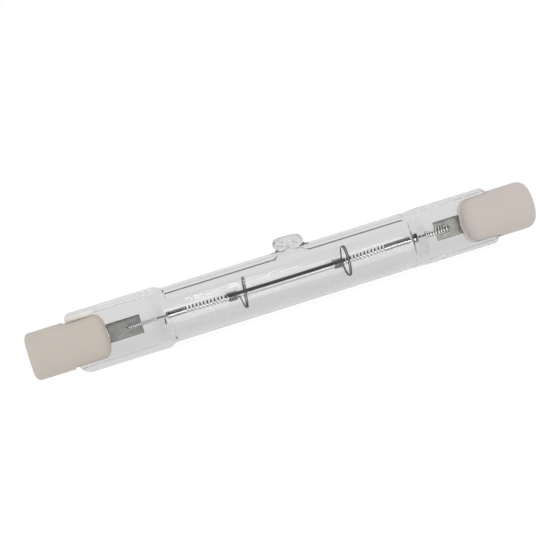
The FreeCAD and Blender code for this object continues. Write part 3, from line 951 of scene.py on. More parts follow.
    def outer_skin(self) -> np.ndarray:
        """Points of the outer skin, ring after ring."""
        end = self.places.pinch_end
        rows = [stations((self.tip_place - 3.6 * MM, self.tip_place + 3.6 * MM, 0.09 * MM))]
        for side in Side:
            middle = self.places.barrel_middle * side.value
            rows.append(side.value * stations((middle + 4.8 * MM, middle + 18.4 * MM, 1.2 * MM),
                                              (middle + 18.4 * MM, middle + 22.2 * MM, 0.09 * MM),
                                              (middle + 22.2 * MM, end - 2.1 * MM, 0.3 * MM),
                                              (end - 2.1 * MM, end - 0.3 * MM, 0.12 * MM),
                                              (end - 0.3 * MM, end, 0.035 * MM)))
        sections = {side: self.pinch_section(side) for side in Side}
        skin = np.vstack([self.ring(along, sections[self.places.side(along)]) for along in
                          np.unique(np.round(np.concatenate(rows), 9))])
        skin = self.raise_tip(skin)
        skin[:, 1] += self.flow(skin)
        return skin

    def bore_skin(self) -> np.ndarray:
        """Points of the bore: a round tube, squeezed shut at both ends, with a funnel up into the tip."""
        end, middle = self.bore_end, self.places.barrel_middle
        half = stations((0, 4.8 * MM, 0.12 * MM), (4.8 * MM, 16.8 * MM, 1.2 * MM),
                        (16.8 * MM, 20.7 * MM, 0.1 * MM), (20.7 * MM, end, 0.03 * MM))
        places = middle + np.concatenate([-half[:0:-1], half])
        angles = np.arange(self.bore_sides) * 2 * math.pi / self.bore_sides
        rings = []
        for along in places:
            out = abs(along - middle)
            squeezed = float(smooth_step(out, self.bore_flat_start, end + 0.1 * MM))
            turned = min(max(out - self.bore_corner_start, 0) / (end - self.bore_corner_start), 1)
            tall = self.bore_end_half + (self.bore_radius - self.bore_end_half) * math.sqrt(1 - turned ** 2)
            thick = self.bore_end_thin + (self.bore_radius - self.bore_end_thin) * (1 - squeezed)
            closing = math.sqrt(max(1 - (max(out - (end - 0.25 * MM), 0) / (0.25 * MM)) ** 2, 0.04))
            late = self.bore_late[self.places.side(along)] * float(smooth_step(out, 9 * MM, 16 * MM))
            late *= 1 if along > middle else -1
            rings.append(np.column_stack([np.full(self.bore_sides, along + late),
                                          thick * closing * np.sin(angles), tall * np.cos(angles)]))
        skin = np.vstack(rings)
        out = np.hypot(skin[:, 0] - self.tip_place, skin[:, 1] * 1.15)
        share = np.clip(1 - out / self.funnel_reach, 0, 1)
        rise = self.funnel_rise * (0.28 * share + 0.72 * share ** 2.6)
        skin[:, 2] += np.where(skin[:, 2] > 0, rise, 0)
        return skin

    def bubble(self, along: float, across: float, above: float, long: float, tall: float) -> np.ndarray:
        """A gas bubble that the flame left in the tip, as rings of points.

        Args:
            along: Its middle along the lamp, from the tip's middle, in millimetres.
            across: Its middle across the lamp.
            above: Its middle above the tube's top.
            long: Its half length.
            tall: Its half height and half depth.

        Returns:
            Its rings of points.
        """
        middle = np.array([self.tip_place + along * MM, across * MM, self.places.tube_radius + above * MM])
        turns = np.arange(self.bubble_sides) * 2 * math.pi / self.bubble_sides
        rings = [np.column_stack([np.full(self.bubble_sides, -math.cos(rise) * long),
                                  math.sin(rise) * tall * np.sin(turns), math.sin(rise) * tall * np.cos(turns)])
                 for rise in np.linspace(0.2, math.pi - 0.2, self.bubble_rings)]
        return middle + np.vstack(rings) * MM

    def build(self) -> bpy.types.Object:
        """Build and dress the envelope.

        Returns:
            The piece.
        """
        outer, bore = self.outer_skin(), self.bore_skin()
        rings = len(outer) // self.sides
        faces = ring_faces(rings, self.sides)
        outer_faces = len(faces)
        mesh = bpy.data.meshes.new("quartz_envelope")
        faces += ring_faces(len(bore) // self.bore_sides, self.bore_sides, len(outer))
        skins = [outer, bore]
        for bubble in self.bubbles:
            faces += ring_faces(self.bubble_rings, self.bubble_sides, sum(map(len, skins)))
            skins.append(self.bubble(*bubble))
        vertices = np.vstack(skins) + np.array([0, 0, self.places.axis])
        mesh.from_pydata([tuple(map(float, vertex)) for vertex in vertices], [], faces)
        mesh.shade_smooth()
        piece = bpy.data.objects.new("quartz_envelope", mesh)
        bpy.context.scene.collection.objects.link(piece)
        self.turn_faces(mesh, outer_faces)
        for finish in (QUARTZ_OUTSIDE, QUARTZ_BORE, SEAL_OUTSIDE, SEAL_BORE, TIP_OUTSIDE):
            mesh.materials.append(finish.material())
        return report(piece, Slot.QUARTZ, "envelope")

    def finish_number(self, place: Vector, hollow: int) -> int:
        """Which finish the quartz has at a place: it looks softer where it was worked in the flame.

        Args:
            place: A point of the skin.
            hollow: 1 in the bore, 0 on the outer skin.

        Returns:
            The finish's number among the piece's materials.
        """
        out, rise = abs(place.x - self.places.barrel_middle), place.z - self.places.axis
        from_tip = abs(place.x - self.tip_place)
        if out > (self.soft_bore if hollow else self.soft_start[self.places.side(place.x)]):
            return 2 + hollow
        return 4 if from_tip < self.tip_reach and rise > 1.03 * self.places.tube_radius else hollow

    def turn_faces(self, mesh: bpy.types.Mesh, outer_faces: int) -> None:
        """Point the outer skin outwards and the hollows' skins into them, and split their ends into triangles.

        Args:
            mesh: The envelope's mesh.
            outer_faces: Number of faces in its outer skin, which come first.
        """
        work = bmesh.new()
        work.from_mesh(mesh)
        work.faces.ensure_lookup_table()
        outer = work.faces[:outer_faces]
        hollows = work.faces[outer_faces:]
        for first, skin in ((0, outer), (1, hollows)):
            for face in skin:
                face.material_index = self.finish_number(face.calc_center_median(), first)
        bmesh.ops.recalc_face_normals(work, faces=outer)
        bmesh.ops.recalc_face_normals(work, faces=hollows)
        bmesh.ops.reverse_faces(work, faces=hollows)
        ends = [face for face in work.faces if len(face.verts) > 4]
        for face in ends:
            for edge in face.edges:
                edge.smooth = False
        bmesh.ops.triangulate(work, faces=ends)
        work.to_mesh(mesh)
        work.free()


class WireTree:
    """A Geometry Nodes tree that sweeps a round wire along a wound path."""

    def __init__(self, name: str, sizes: Sequence[str]) -> None:
        """Start the tree with its named inputs.

        Args:
            name: The tree's name.
            sizes: Names of its number inputs.
        """
        self.tree = bpy.data.node_groups.new(name, "GeometryNodeTree")
        self.sketch = NodeSketch(self.tree)
        self.identifiers: dict[str, str] = {}
        self.tree.interface.new_socket("Geometry", in_out="OUTPUT", socket_type="NodeSocketGeometry")
        for size in (*sizes, "Wire Radius", "Points", "Sides"):
            whole = size in ("Points", "Sides")
            kind = "NodeSocketInt" if whole else "NodeSocketFloat"
            socket = self.tree.interface.new_socket(size, in_out="INPUT", socket_type=kind)
            self.identifiers[size] = socket.identifier
        finish = self.tree.interface.new_socket("Finish", in_out="INPUT", socket_type="NodeSocketMaterial")
        self.identifiers["Finish"] = finish.identifier
        self.inputs = self.sketch.add("NodeGroupInput").outputs
        self.index = self.sketch.add("GeometryNodeInputIndex").outputs[0]

    def close(self, along: bpy.types.NodeSocket, across: bpy.types.NodeSocket, up: bpy.types.NodeSocket) -> None:
        """End the tree: place the path's points, sweep the wire and give it its finish.

        Args:
            along: Each point's X.
            across: Each point's Y.
            up: Each point's Z.
        """
        sketch = self.sketch
        place = sketch.add("ShaderNodeCombineXYZ", {"X": along, "Y": across, "Z": up}).outputs[0]
        line = sketch.add("GeometryNodeMeshLine", {"Count": self.inputs["Points"]}).outputs[0]
        path = sketch.add("GeometryNodeSetPosition", {"Geometry": line, "Position": place}).outputs[0]
        curve = sketch.add("GeometryNodeMeshToCurve", {"Mesh": path}).outputs[0]
        profile = sketch.add("GeometryNodeCurvePrimitiveCircle", {
            "Resolution": self.inputs["Sides"], "Radius": self.inputs["Wire Radius"]}).outputs[0]
        wire = sketch.add("GeometryNodeCurveToMesh", {"Curve": curve, "Profile Curve": profile,
                                                      "Fill Caps": True}).outputs[0]
        smooth = sketch.add("GeometryNodeSetShadeSmooth", {0: wire}).outputs[0]
        real = sketch.add("GeometryNodeRealizeInstances", {0: smooth}).outputs[0]
        dressed = sketch.add("GeometryNodeSetMaterial", {
            "Geometry": real, "Material": self.inputs["Finish"]}).outputs[0]
        sketch.add("NodeGroupOutput", {0: dressed})

    def make(self, name: str, finish: WireFinish, **sizes: float) -> bpy.types.Object:
        """Make one wound wire with this tree, as a plain mesh.

        Args:
            name: The piece's name.
            finish: Its finish.
            sizes: A value for each named input, with an underscore for each space.

        Returns:
            The piece.
        """
        piece = bpy.data.objects.new(name, bpy.data.meshes.new(name))
        bpy.context.scene.collection.objects.link(piece)
        modifier = piece.modifiers.new("Winding", "NODES")
        modifier.node_group = self.tree
        for word, size in sizes.items():
            modifier[self.identifiers[word.replace("_", " ").title()]] = size
        modifier[self.identifiers["Finish"]] = finish.material()
        apply_modifiers(piece)
        work = bmesh.new()
        work.from_mesh(piece.data)
        bmesh.ops.recalc_face_normals(work, faces=work.faces)
        work.to_mesh(piece.data)
        work.free()
        return piece


def coil_tree() -> WireTree:
    """The tree of a sagging coil along X: even turns in its middle, then wide ones, then close ones.

    Past a number of turns from the middle, each turn stands square to the line and steps over to the next one
    on its far side. In the middle a turn takes half of that step there, and the other half over its top.

    Returns:
        The tree.
    """
    coil = WireTree("Coil", ("Left Turns", "Middle Turns", "Wide Turns", "Middle Pitch", "Wide Pitch",
                             "Close Pitch", "Square From", "Step Start", "Step End", "Across", "Up", "Sag",
                             "Sag Reach", "Sag Middle", "Middle", "Height", "Lean", "Yaw", "Yaw Growth", "Runs"))
    sketch, inputs = coil.sketch, coil.inputs
    turn = sketch.math("DIVIDE", coil.index, inputs["Runs"])
    step = sketch.ramp(sketch.math("FRACT", turn), inputs["Step Start"], inputs["Step End"])
    square = sketch.math("ADD", sketch.math("FLOOR", turn), step)
    out = sketch.math("ABSOLUTE", sketch.math("SUBTRACT", turn, inputs["Left Turns"]))
    share = sketch.ramp(out, sketch.math("SUBTRACT", inputs["Square From"], 2.0), inputs["Square From"])
    shifted = sketch.math("ADD", turn, 0.5)
    top_step = sketch.ramp(sketch.math("FRACT", shifted), 0.42, 0.58)
    over_top = sketch.math("ADD", sketch.math("FLOOR", shifted), top_step)
    halved = sketch.math("MULTIPLY", sketch.math("SUBTRACT", 1.0, share), 0.5)
    moved = sketch.math("MULTIPLY_ADD", sketch.math("SUBTRACT", over_top, square), halved, square)
    place = sketch.math("SUBTRACT", moved, inputs["Left Turns"])
    out = sketch.math("ABSOLUTE", place)
    past = sketch.math("MAXIMUM", sketch.math("SUBTRACT", out, inputs["Middle Turns"]), 0.0)
    wide = sketch.math("MINIMUM", past, inputs["Wide Turns"])
    close = sketch.math("SUBTRACT", past, wide)
    run = sketch.math("MULTIPLY", sketch.math("MINIMUM", out, inputs["Middle Turns"]), inputs["Middle Pitch"])
    run = sketch.math("MULTIPLY_ADD", wide, inputs["Wide Pitch"], run)
    run = sketch.math("MULTIPLY_ADD", close, inputs["Close Pitch"], run)
    along = sketch.math("MULTIPLY", run, sketch.math("SIGN", place))
    from_sag = sketch.math("SUBTRACT", along, inputs["Sag Middle"])
    reach = sketch.math("DIVIDE", from_sag, inputs["Sag Reach"])
    hang = sketch.math("MAXIMUM", sketch.math("SUBTRACT", 1.0, sketch.math("MULTIPLY", reach, reach)), 0.0)
    level = sketch.math("SUBTRACT", inputs["Height"], sketch.math("MULTIPLY", hang, inputs["Sag"]))
    angle = sketch.math("MULTIPLY", turn, 2 * math.pi)
    across = sketch.math("MULTIPLY", sketch.math("SINE", angle), inputs["Across"])
    rise = sketch.math("MULTIPLY", sketch.math("COSINE", angle), inputs["Up"])
    along = sketch.math("ADD", along, inputs["Middle"])
    yaw = sketch.math("MULTIPLY_ADD", along, inputs["Yaw Growth"], inputs["Yaw"])
    yawing = sketch.math("MULTIPLY", across, yaw)
    tilted = sketch.math("ADD", yawing, sketch.math("MULTIPLY", rise, inputs["Lean"]))
    coil.close(sketch.math("ADD", along, tilted), across, sketch.math("ADD", rise, level))
    return coil


def support_tree() -> WireTree:
    """The tree of a support: close turns, a spiral outwards and a leaning ring.

    Returns:
        The tree.
    """
    support = WireTree("Support", ("Start", "Close Turns", "Pitch", "Close Radius", "Spiral Turns", "Spiral Run",
                                   "Ring Radius", "Ring Pitch", "Lean", "Yaw", "Height", "Runs"))
    sketch, inputs = support.sketch, support.inputs
    turn = sketch.math("DIVIDE", support.index, inputs["Runs"])
    close = sketch.math("MINIMUM", turn, inputs["Close Turns"])
    past = sketch.math("DIVIDE", sketch.math("SUBTRACT", turn, inputs["Close Turns"]), inputs["Spiral Turns"])
    share = sketch.add("ShaderNodeMapRange", {"Value": past}, interpolation_type="SMOOTHSTEP",
                       clamp=True).outputs[0]
    ringed = sketch.math("MULTIPLY", sketch.math("SUBTRACT", past, 1.0), inputs["Spiral Turns"])
    ringed = sketch.math("MAXIMUM", ringed, 0.0)
    grown = sketch.math("SUBTRACT", inputs["Ring Radius"], inputs["Close Radius"])
    radius = sketch.math("MULTIPLY_ADD", share, grown, inputs["Close Radius"])
    angle = sketch.math("MULTIPLY", turn, 2 * math.pi)
    across = sketch.math("MULTIPLY", sketch.math("SINE", angle), radius)
    up = sketch.math("MULTIPLY", sketch.math("COSINE", angle), radius)
    run = sketch.math("MULTIPLY_ADD", close, inputs["Pitch"], inputs["Start"])
    run = sketch.math("MULTIPLY_ADD", share, inputs["Spiral Run"], run)
    run = sketch.math("MULTIPLY_ADD", ringed, inputs["Ring Pitch"], run)
    leaning = sketch.math("MULTIPLY", sketch.math("MULTIPLY", up, inputs["Lean"]), share)
    yawing = sketch.math("MULTIPLY", sketch.math("MULTIPLY", across, inputs["Yaw"]), share)
    along = sketch.math("ADD", run, sketch.math("ADD", leaning, yawing))
    support.close(along, across, sketch.math("ADD", up, inputs["Height"]))
    return support


@dataclass
class Filament:
    """The coiled filament and its two ring supports."""

    places: LampPlaces
    half_length: float = 19.45 * MM
    radius: float = 0.405 * MM
    wire: float = 0.23 * MM
    pitch: float = 0.385 * MM
    close_pitch: float = 0.285 * MM
    close_length: float = 3.9 * MM
    wide_pitch: float = 0.555 * MM
    wide_from: float = 9.3 * MM
    zones_shift: float = -0.75 * MM
    short: dict[Side, float] = by_side(0.6 * MM, 0.0)
    sag: float = 0.22 * MM
    sag_reach: float = 16.8 * MM
    step: tuple[float, float] = (0.27, 0.4)
    lean: float = 0.16
    runs: int = 24
    support_wire: float = 0.2 * MM
    support_pitch: float = 0.33 * MM
    support_length: float = 1.35 * MM
    support_clearance: float = 0.05 * MM
    spiral_turns: float = 0.5
    ring_turns: float = 1.4
    ring_radius: float = 2.265 * MM
    ring_pitch: float = 0.24 * MM
    ring_places: dict[Side, float] = by_side(-7.35 * MM, 8.45 * MM)
    ring_runs: dict[Side, float] = by_side(1.05 * MM, 0.4 * MM)
    ring_leans: dict[Side, float] = by_side(0.13, 0.03)
    ring_yaws: dict[Side, float] = by_side(0.05, -0.07)

    def build(self, coil: WireTree, support: WireTree) -> None:
        """Build and dress the filament and its supports.

        Args:
            coil: The tree that winds a coil.
            support: The tree that winds a support.
        """
        middle_turns = self.wide_from / self.pitch
        wide_turns = (self.half_length - self.close_length - self.wide_from) / self.wide_pitch
        close_turns = {side: (self.close_length - side.value * self.zones_shift - self.short[side])
                       / self.close_pitch for side in Side}
        turns = 2 * (middle_turns + wide_turns) + sum(close_turns.values())
        filament = coil.make("coiled_filament", TUNGSTEN_COIL, middle_turns=middle_turns,
                             left_turns=middle_turns + wide_turns + close_turns[Side.LEFT],
                             wide_turns=wide_turns, middle_pitch=self.pitch, wide_pitch=self.wide_pitch,
                             close_pitch=self.close_pitch, square_from=middle_turns + 1.0,
                             across=self.radius, up=self.radius, sag=self.sag, sag_reach=self.sag_reach,
                             middle=self.places.barrel_middle + self.zones_shift, sag_middle=-self.zones_shift,
                             height=self.places.axis, step_start=self.step[0], step_end=self.step[1],
                             lean=self.lean, yaw=TURN_YAW, yaw_growth=TURN_YAW_GROWTH, runs=self.runs,
                             wire_radius=self.wire / 2, points=round(turns * self.runs), sides=8)
        self.mark_levels(filament)
        report(filament, Slot.TUNGSTEN, "filament")
        for side in Side:
            self.build_support(side, support)

    def drop(self, along: np.ndarray | float) -> np.ndarray:
        """How far the filament's middle line hangs, at a distance from the round tube's middle."""
        return self.sag * np.maximum(1 - (np.asarray(along) / self.sag_reach) ** 2, 0)

    def mark_levels(self, filament: bpy.types.Object) -> None:
        """Keep each point's height in the coil, from 0 at its underside to 1 at its top, for the painted highlight band
        in its finish.

        Args:
            filament: The coil.
        """
        mesh = filament.data
        points = np.empty(3 * len(mesh.vertices))
        mesh.vertices.foreach_get("co", points)
        points = points.reshape(-1, 3)
        middle = self.places.axis - self.drop(points[:, 0] - self.places.barrel_middle)
        levels = 0.5 + (points[:, 2] - middle) / (2 * self.radius + self.wire)
        mesh.attributes.new(LEVEL, "FLOAT", "POINT").data.foreach_set("value", levels.astype(np.float32))

    def build_support(self, side: Side, support: WireTree) -> None:
        """Build one support.

        Args:
            side: The end of the lamp that it is nearer to.
            support: The tree that winds it.
        """
        ring = self.ring_places[side]
        turns = self.support_length / self.support_pitch
        close_radius = self.radius + self.wire / 2 + self.support_clearance + self.support_wire / 2
        piece = support.make(f"ring_support_{side.word}", TUNGSTEN_SUPPORT,
                             start=self.places.barrel_middle + ring - self.ring_runs[side] - self.support_length,
                             close_turns=turns, pitch=self.support_pitch, close_radius=close_radius,
                             spiral_turns=self.spiral_turns,
                             spiral_run=self.ring_runs[side], ring_radius=self.ring_radius,
                             ring_pitch=self.ring_pitch, lean=self.ring_leans[side], yaw=self.ring_yaws[side],
                             height=self.places.axis - float(self.drop(ring)), runs=32,
                             wire_radius=self.support_wire / 2,
                             points=round((turns + self.spiral_turns + self.ring_turns) * 32), sides=8)
        report(piece, Slot.TUNGSTEN, f"support_{side.word}")


@dataclass
class LeadSet:
    """What leads the current into one end: inner lead, its winding, foil, outer lead and contact."""

    places: LampPlaces
    side: Side
    lead_radius: float = 0.15 * MM
    fine_wire: float = 0.13 * MM
    fine_pitch: float = 0.28 * MM
    fine_half: float = 0.3 * MM
    coarse_wire: float = 0.16 * MM
    coarse_pitch: float = 0.42 * MM
    coarse_half: float = 0.52 * MM
    tail_radius: float = 0.1 * MM

    def stretch(self, node: str) -> tuple[float, float]:
        """Where a node of this end starts and ends, outwards along the lamp.

        Args:
            node: The node's name without its side.

        Returns:
            The near and the far place.
        """
        low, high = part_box(f"{node}_{self.side.word}")
        near, far = sorted((low.x * self.side.value, high.x * self.side.value))
        return near, far

    def straight_wire(self, name: str, finish: WireFinish, corners: Sequence[tuple[float, float, float]],
                      radius: float, sides: int = 16) -> bpy.types.Object:
        """Sweep a wire along a soft line through corners.

        Args:
            name: The piece's name.
            finish: Its finish.
            corners: Points of (along outwards, across, up) from the lamp's axis.
            radius: The wire's radius.
            sides: Points round the wire.

        Returns:
            The piece.
        """
        line = even_points(corners, 60, 30)
        line[:, 0] *= self.side.value
        line[:, 2] += self.places.axis
        angles = np.arange(sides) * 2 * math.pi / sides
        rings = []
        for number, point in enumerate(line):
            run = Vector(line[min(number + 1, len(line) - 1)] - line[max(number - 1, 0)]).normalized()
            across = run.cross(Vector((0, 0, 1))).normalized()
            rise = across.cross(run)
            shrink = 0.55 if number in (0, len(line) - 1) else 1.0
            rings.extend(Vector(point) + (across * math.cos(angle) + rise * math.sin(angle)) * radius * shrink
                         for angle in angles)
        piece = mesh_object(name, np.array(rings), ring_faces(len(line), sides))
        piece.data.materials.append(finish.material())
        return piece

    def build_lead(self) -> None:
        """Build the inner lead, with the small kink where it leaves the glass."""
        kink = 0.05 * MM if self.side is Side.LEFT else -0.03 * MM
        near, far = self.stretch("inner_lead")
        corners = [(near, 0, 0), (near + 2.6 * MM, 0, 0), (near + 3.3 * MM, 0, kink),
                   (near + 4.0 * MM, 0, 0), (far, 0, 0)]
        lead = self.straight_wire(f"filament_lead_{self.side.word}", TUNGSTEN_LEAD, corners, self.lead_radius)
        report(lead, Slot.TUNGSTEN, f"inner_lead_{self.side.word}")
        if self.side is Side.LEFT:
            corners = [(18.25 * MM, 0, -0.3 * MM), (18.35 * MM, -0.06 * MM, -1.2 * MM)]
            tail = self.straight_wire("coil_tail_left", TUNGSTEN_SUPPORT, corners, self.tail_radius)
            report(tail, Slot.TUNGSTEN)

    def build_winding(self, coil: WireTree) -> None:
        """Build the winding round the inner lead.

        Args:
            coil: The tree that winds a coil.
        """
        fine = self.side is Side.LEFT
        wire, pitch = (self.fine_wire, self.fine_pitch) if fine else (self.coarse_wire, self.coarse_pitch)
        near, far = self.stretch("lead_winding")
        across = self.lead_radius + wire / 2 + 0.03 * MM
        turns = (far - near) / pitch
        piece = coil.make(f"seal_winding_{self.side.word}", WINDING_PALE, left_turns=turns / 2,
                          middle_turns=turns, wide_turns=0.0, middle_pitch=pitch, wide_pitch=pitch,
                          close_pitch=pitch, square_from=-1.0, across=across,
                          up=self.fine_half if fine else self.coarse_half, sag=0.0, sag_reach=1.0,
                          sag_middle=0.0, middle=self.side.value * (near + far) / 2,
                          height=self.places.axis, step_start=0.25, step_end=0.5, lean=0.1, yaw=TURN_YAW,
                          yaw_growth=TURN_YAW_GROWTH, runs=24, wire_radius=wire / 2,
                          points=round(turns * 24), sides=8)
        report(piece, Slot.TUNGSTEN, f"lead_winding_{self.side.word}")

    def build_foil(self) -> None:
        """Build the foil: thin, with etched edges and a faint buckle."""
        low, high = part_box(f"foil_{self.side.word}")
        rows, columns = 61, 21
        middle = (low.y + high.y) / 2
        thick = (high.y - low.y) / 2
        vertices = []
        for level in (-1, 1):
            for along in np.linspace(low.x, high.x, rows):
                for share in np.linspace(-1, 1, columns):
                    up = (low.z + high.z) / 2 + share * (high.z - low.z) / 2
                    edge = thick * (0.12 + 0.88 * math.sqrt(max(1 - share ** 4, 0)))
                    buckle = 0.012 * MM * math.sin(1.9 * along / MM + 0.6) * math.cos(2.1 * share)
                    vertices.append((along, middle + buckle + level * edge, up))
        piece = mesh_object(f"sealing_foil_{self.side.word}", np.array(vertices), slab_faces(rows, columns))
        piece.data.materials.append(FOILS[self.side].material(high.z))
        report(piece, Slot.FOIL, f"foil_{self.side.word}")

    def build_contact(self) -> None:
        """Build the contact button, dished in its middle and rounded at its edge."""
        low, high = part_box(f"contact_{self.side.word}")
        outer = max(abs(low.x), abs(high.x))
        inner = min(abs(low.x), abs(high.x))
        radius = (high.z - low.z) / 2
        face = [(outer - 0.22 * MM, 0.001 * MM), (outer - 0.2 * MM, 0.4 * MM), (outer - 0.06 * MM, 0.8 * MM),
                (outer - 0.01 * MM, 1.0 * MM)]
        face += arc((outer - 0.2 * MM, radius - 0.2 * MM), (0.2 * MM, 0.2 * MM), 0, 90, 6)
        outline = np.array([*face, (inner, radius), (inner, 0.001 * MM)])
        outline[:, 0] *= self.side.value
        piece = turned_piece(f"contact_button_{self.side.word}", outline, 64, self.places.axis)
        piece.data.materials.append(NICKEL.material())
        report(piece, Slot.NICKEL, f"contact_{self.side.word}")

    def dress_outer_lead(self, nodes: dict[str, bpy.types.Object]) -> None:
        """Give the outer lead's CAD node its finish.

        Args:
            nodes: The frame's nodes.
        """
        lead = nodes[f"outer_lead_{self.side.word}"]
        lead.data.materials.clear()
        lead.data.materials.append(LEAD_WIRE.material())
        log.info("%s dressed", lead.name)

    def build(self, coil: WireTree, nodes: dict[str, bpy.types.Object]) -> None:
        """Build and dress every piece of this end's lead.

        Args:
            coil: The tree that winds a coil.
            nodes: The frame's nodes.
        """
        self.build_lead()
        self.build_winding(coil)
        self.build_foil()
        self.build_contact()
        self.dress_outer_lead(nodes)


@dataclass
class Cap:
    """One ceramic cap with its cement."""

    places: LampPlaces
    side: Side
    sides: int = 120
    edge_rounds: dict[Side, tuple[float, float]] = by_side((0.8 * MM, 1.3 * MM), (1.6 * MM, 1.55 * MM))
    cheek_rounds: dict[Side, tuple[float, float]] = by_side((1.4 * MM, 1.8 * MM), (2.2 * MM, 2.3 * MM))
    slot_base: float = 33.1 * MM
    slot_half: float = 1.2 * MM
    hole: float = 0.6 * MM
    recess_radius: float = 1.8 * MM
    recess_depth: float = 1.6 * MM
    seat_radius: float = 1.6 * MM
    seat_depth: float = 2.4 * MM
    soft_edge: float = 0.13 * MM
    cement_past: dict[Side, float] = by_side(0.1 * MM, 0.3 * MM)
    rear_short: float = 0.65 * MM
    bead_radius: float = 0.48 * MM

    def outline(self) -> np.ndarray:
        """The cap's outline as (along outwards, radius), before its slot is cut."""
        end, near, radius = self.places.cap_end, self.places.cheek_end[self.side], self.places.cap_radius
        long, rise = self.cheek_rounds[self.side]
        rounded = self.edge_rounds[self.side]
        edge = arc((end - rounded[0], radius - rounded[1]), rounded, 0, 90, 12)
        cheek = arc((near + long, radius - rise), (long, rise), 90, 180, 14)
        mouth = arc((end - 0.15 * MM, self.recess_radius + 0.15 * MM), (0.15 * MM, -0.15 * MM), 90, 0, 4)
        return np.array([*mouth, *edge, *cheek, (near, self.hole), (end - self.seat_depth, self.hole),
                         (end - self.seat_depth, self.seat_radius), (end - self.recess_depth, self.seat_radius),
                         (end - self.recess_depth, self.recess_radius)])

    def build(self) -> None:
        """Build and dress the cap and its cement."""
        outline = self.outline()
        outline[:, 0] *= self.side.value
        piece = turned_piece(f"ceramic_cap_{self.side.word}", outline, self.sides, self.places.axis)
        cutter = self.slot_cutter()
        cut = piece.modifiers.new("Slot", "BOOLEAN")
        cut.operation = "DIFFERENCE"
        cut.solver = "EXACT"
        cut.object = cutter
        soft = piece.modifiers.new("Soft edges", "BEVEL")
        soft.width = self.soft_edge
        soft.segments = 3
        soft.limit_method = "ANGLE"
        soft.angle_limit = math.radians(38)
        soft.harden_normals = False
        apply_modifiers(piece)
        bpy.data.objects.remove(cutter)
        piece.data.set_sharp_from_angle(angle=math.radians(35))
        piece.data.materials.clear()
        piece.data.materials.append(CERAMICS[self.side].material())
        report(piece, Slot.CERAMIC, f"cap_{self.side.word}")
        self.build_cement()

    def slot_cutter(self) -> bpy.types.Object:
        """The block that cuts the cap's slot."""
        low = (self.places.cheek_end[self.side] - 1 * MM, -self.slot_half, -2 * self.places.cap_radius)
        high = (self.slot_base, self.slot_half, 2 * self.places.cap_radius)
        corners = [(x * self.side.value, y, z + self.places.axis) for x in (low[0], high[0])
                   for y in (low[1], high[1]) for z in (low[2], high[2])]
        faces = [(0, 1, 3, 2), (4, 6, 7, 5), (0, 4, 5, 1), (2, 3, 7, 6), (0, 2, 6, 4), (1, 5, 7, 3)]
        return mesh_object("slot_cutter", np.array(corners), faces, smooth=False)

    def cement_bead(self) -> np.ndarray:
        """The lumpy bead of cement that was pressed out along the upper rim, as forty rings of twelve points."""
        near, far = self.places.cheek_end[self.side] + 0.9 * MM, self.places.pinch_end - 0.1 * MM
        turns = np.arange(12) * 2 * math.pi / 12
        rings = []
        for share in np.linspace(0, 1, 40):
            along = near + (far - near) * share
            thick = self.bead_radius * math.sqrt(max(1 - (2 * share - 1) ** 6, 0.02)) * (0.6 + 0.4 * share)
            thick *= 1 + 0.16 * math.sin(21 * share) + 0.1 * math.sin(47 * share + 1)
            rings.append(np.column_stack([np.full(12, along * self.side.value), -1.66 * MM + 0.6 * thick * np.sin(turns),
                                          self.places.axis + self.places.cap_radius + 0.2 * MM + thick * np.cos(turns)]))
        return np.vstack(rings)

    def build_cement(self) -> None:
        """Build the cement: a thin bed on both faces of the web, with a lumpy free edge."""
        near, far = self.places.cheek_end[self.side] - self.cement_past[self.side], self.slot_base
        long, rise = self.cheek_rounds[self.side]
        web, cheek = 1.065 * MM, self.slot_half - 0.012 * MM
        rows, columns = 40, 40
        vertices: list[tuple[float, float, float]] = []
        faces: list[Sequence[int]] = []
        reach = self.places.cap_radius - 0.3 * MM
        for level in (-1, 1):
            first = len(vertices)
            for depth in (web, cheek):
                for share in np.linspace(-1, 1, columns):
                    turned = max(abs(share) * reach - (self.places.cap_radius - rise), 0) / rise
                    edge = near + 1.0 * long * (1 - math.sqrt(max(1 - turned ** 2, 0)))
                    edge += self.rear_short * (level > 0 and self.side is Side.RIGHT)
                    edge += 0.06 * MM * math.sin(9 * share + level) + 0.03 * MM * math.sin(23 * share)
                    for along in np.linspace(edge, far - 0.01 * MM, rows):
                        vertices.append((along * self.side.value, level * depth, self.places.axis + share * reach))
            count = rows * columns
            faces += [(first + deep * count + column * rows + row, first + deep * count + column * rows + row + 1,
                       first + deep * count + (column + 1) * rows + row + 1,
                       first + deep * count + (column + 1) * rows + row)
                      for deep in (0, 1) for column in range(columns - 1) for row in range(rows - 1)]
            border = list(range(rows)) + [column * rows + rows - 1 for column in range(1, columns)]
            border += [(columns - 1) * rows + row for row in range(rows - 2, -1, -1)]
            border += [column * rows for column in range(columns - 2, 0, -1)]
            faces += [(first + border[number - 1], first + border[number], first + border[number] + count,
                       first + border[number - 1] + count) for number in range(len(border))]
        if self.side is Side.LEFT:
            faces += ring_faces(40, 12, len(vertices))
            vertices.extend(self.cement_bead())
        piece = mesh_object(f"cement_bed_{self.side.word}", np.array(vertices), faces)
        piece.data.materials.append(CEMENTS[self.side].material())
        report(piece, Slot.CEMENT, f"cement_{self.side.word}")


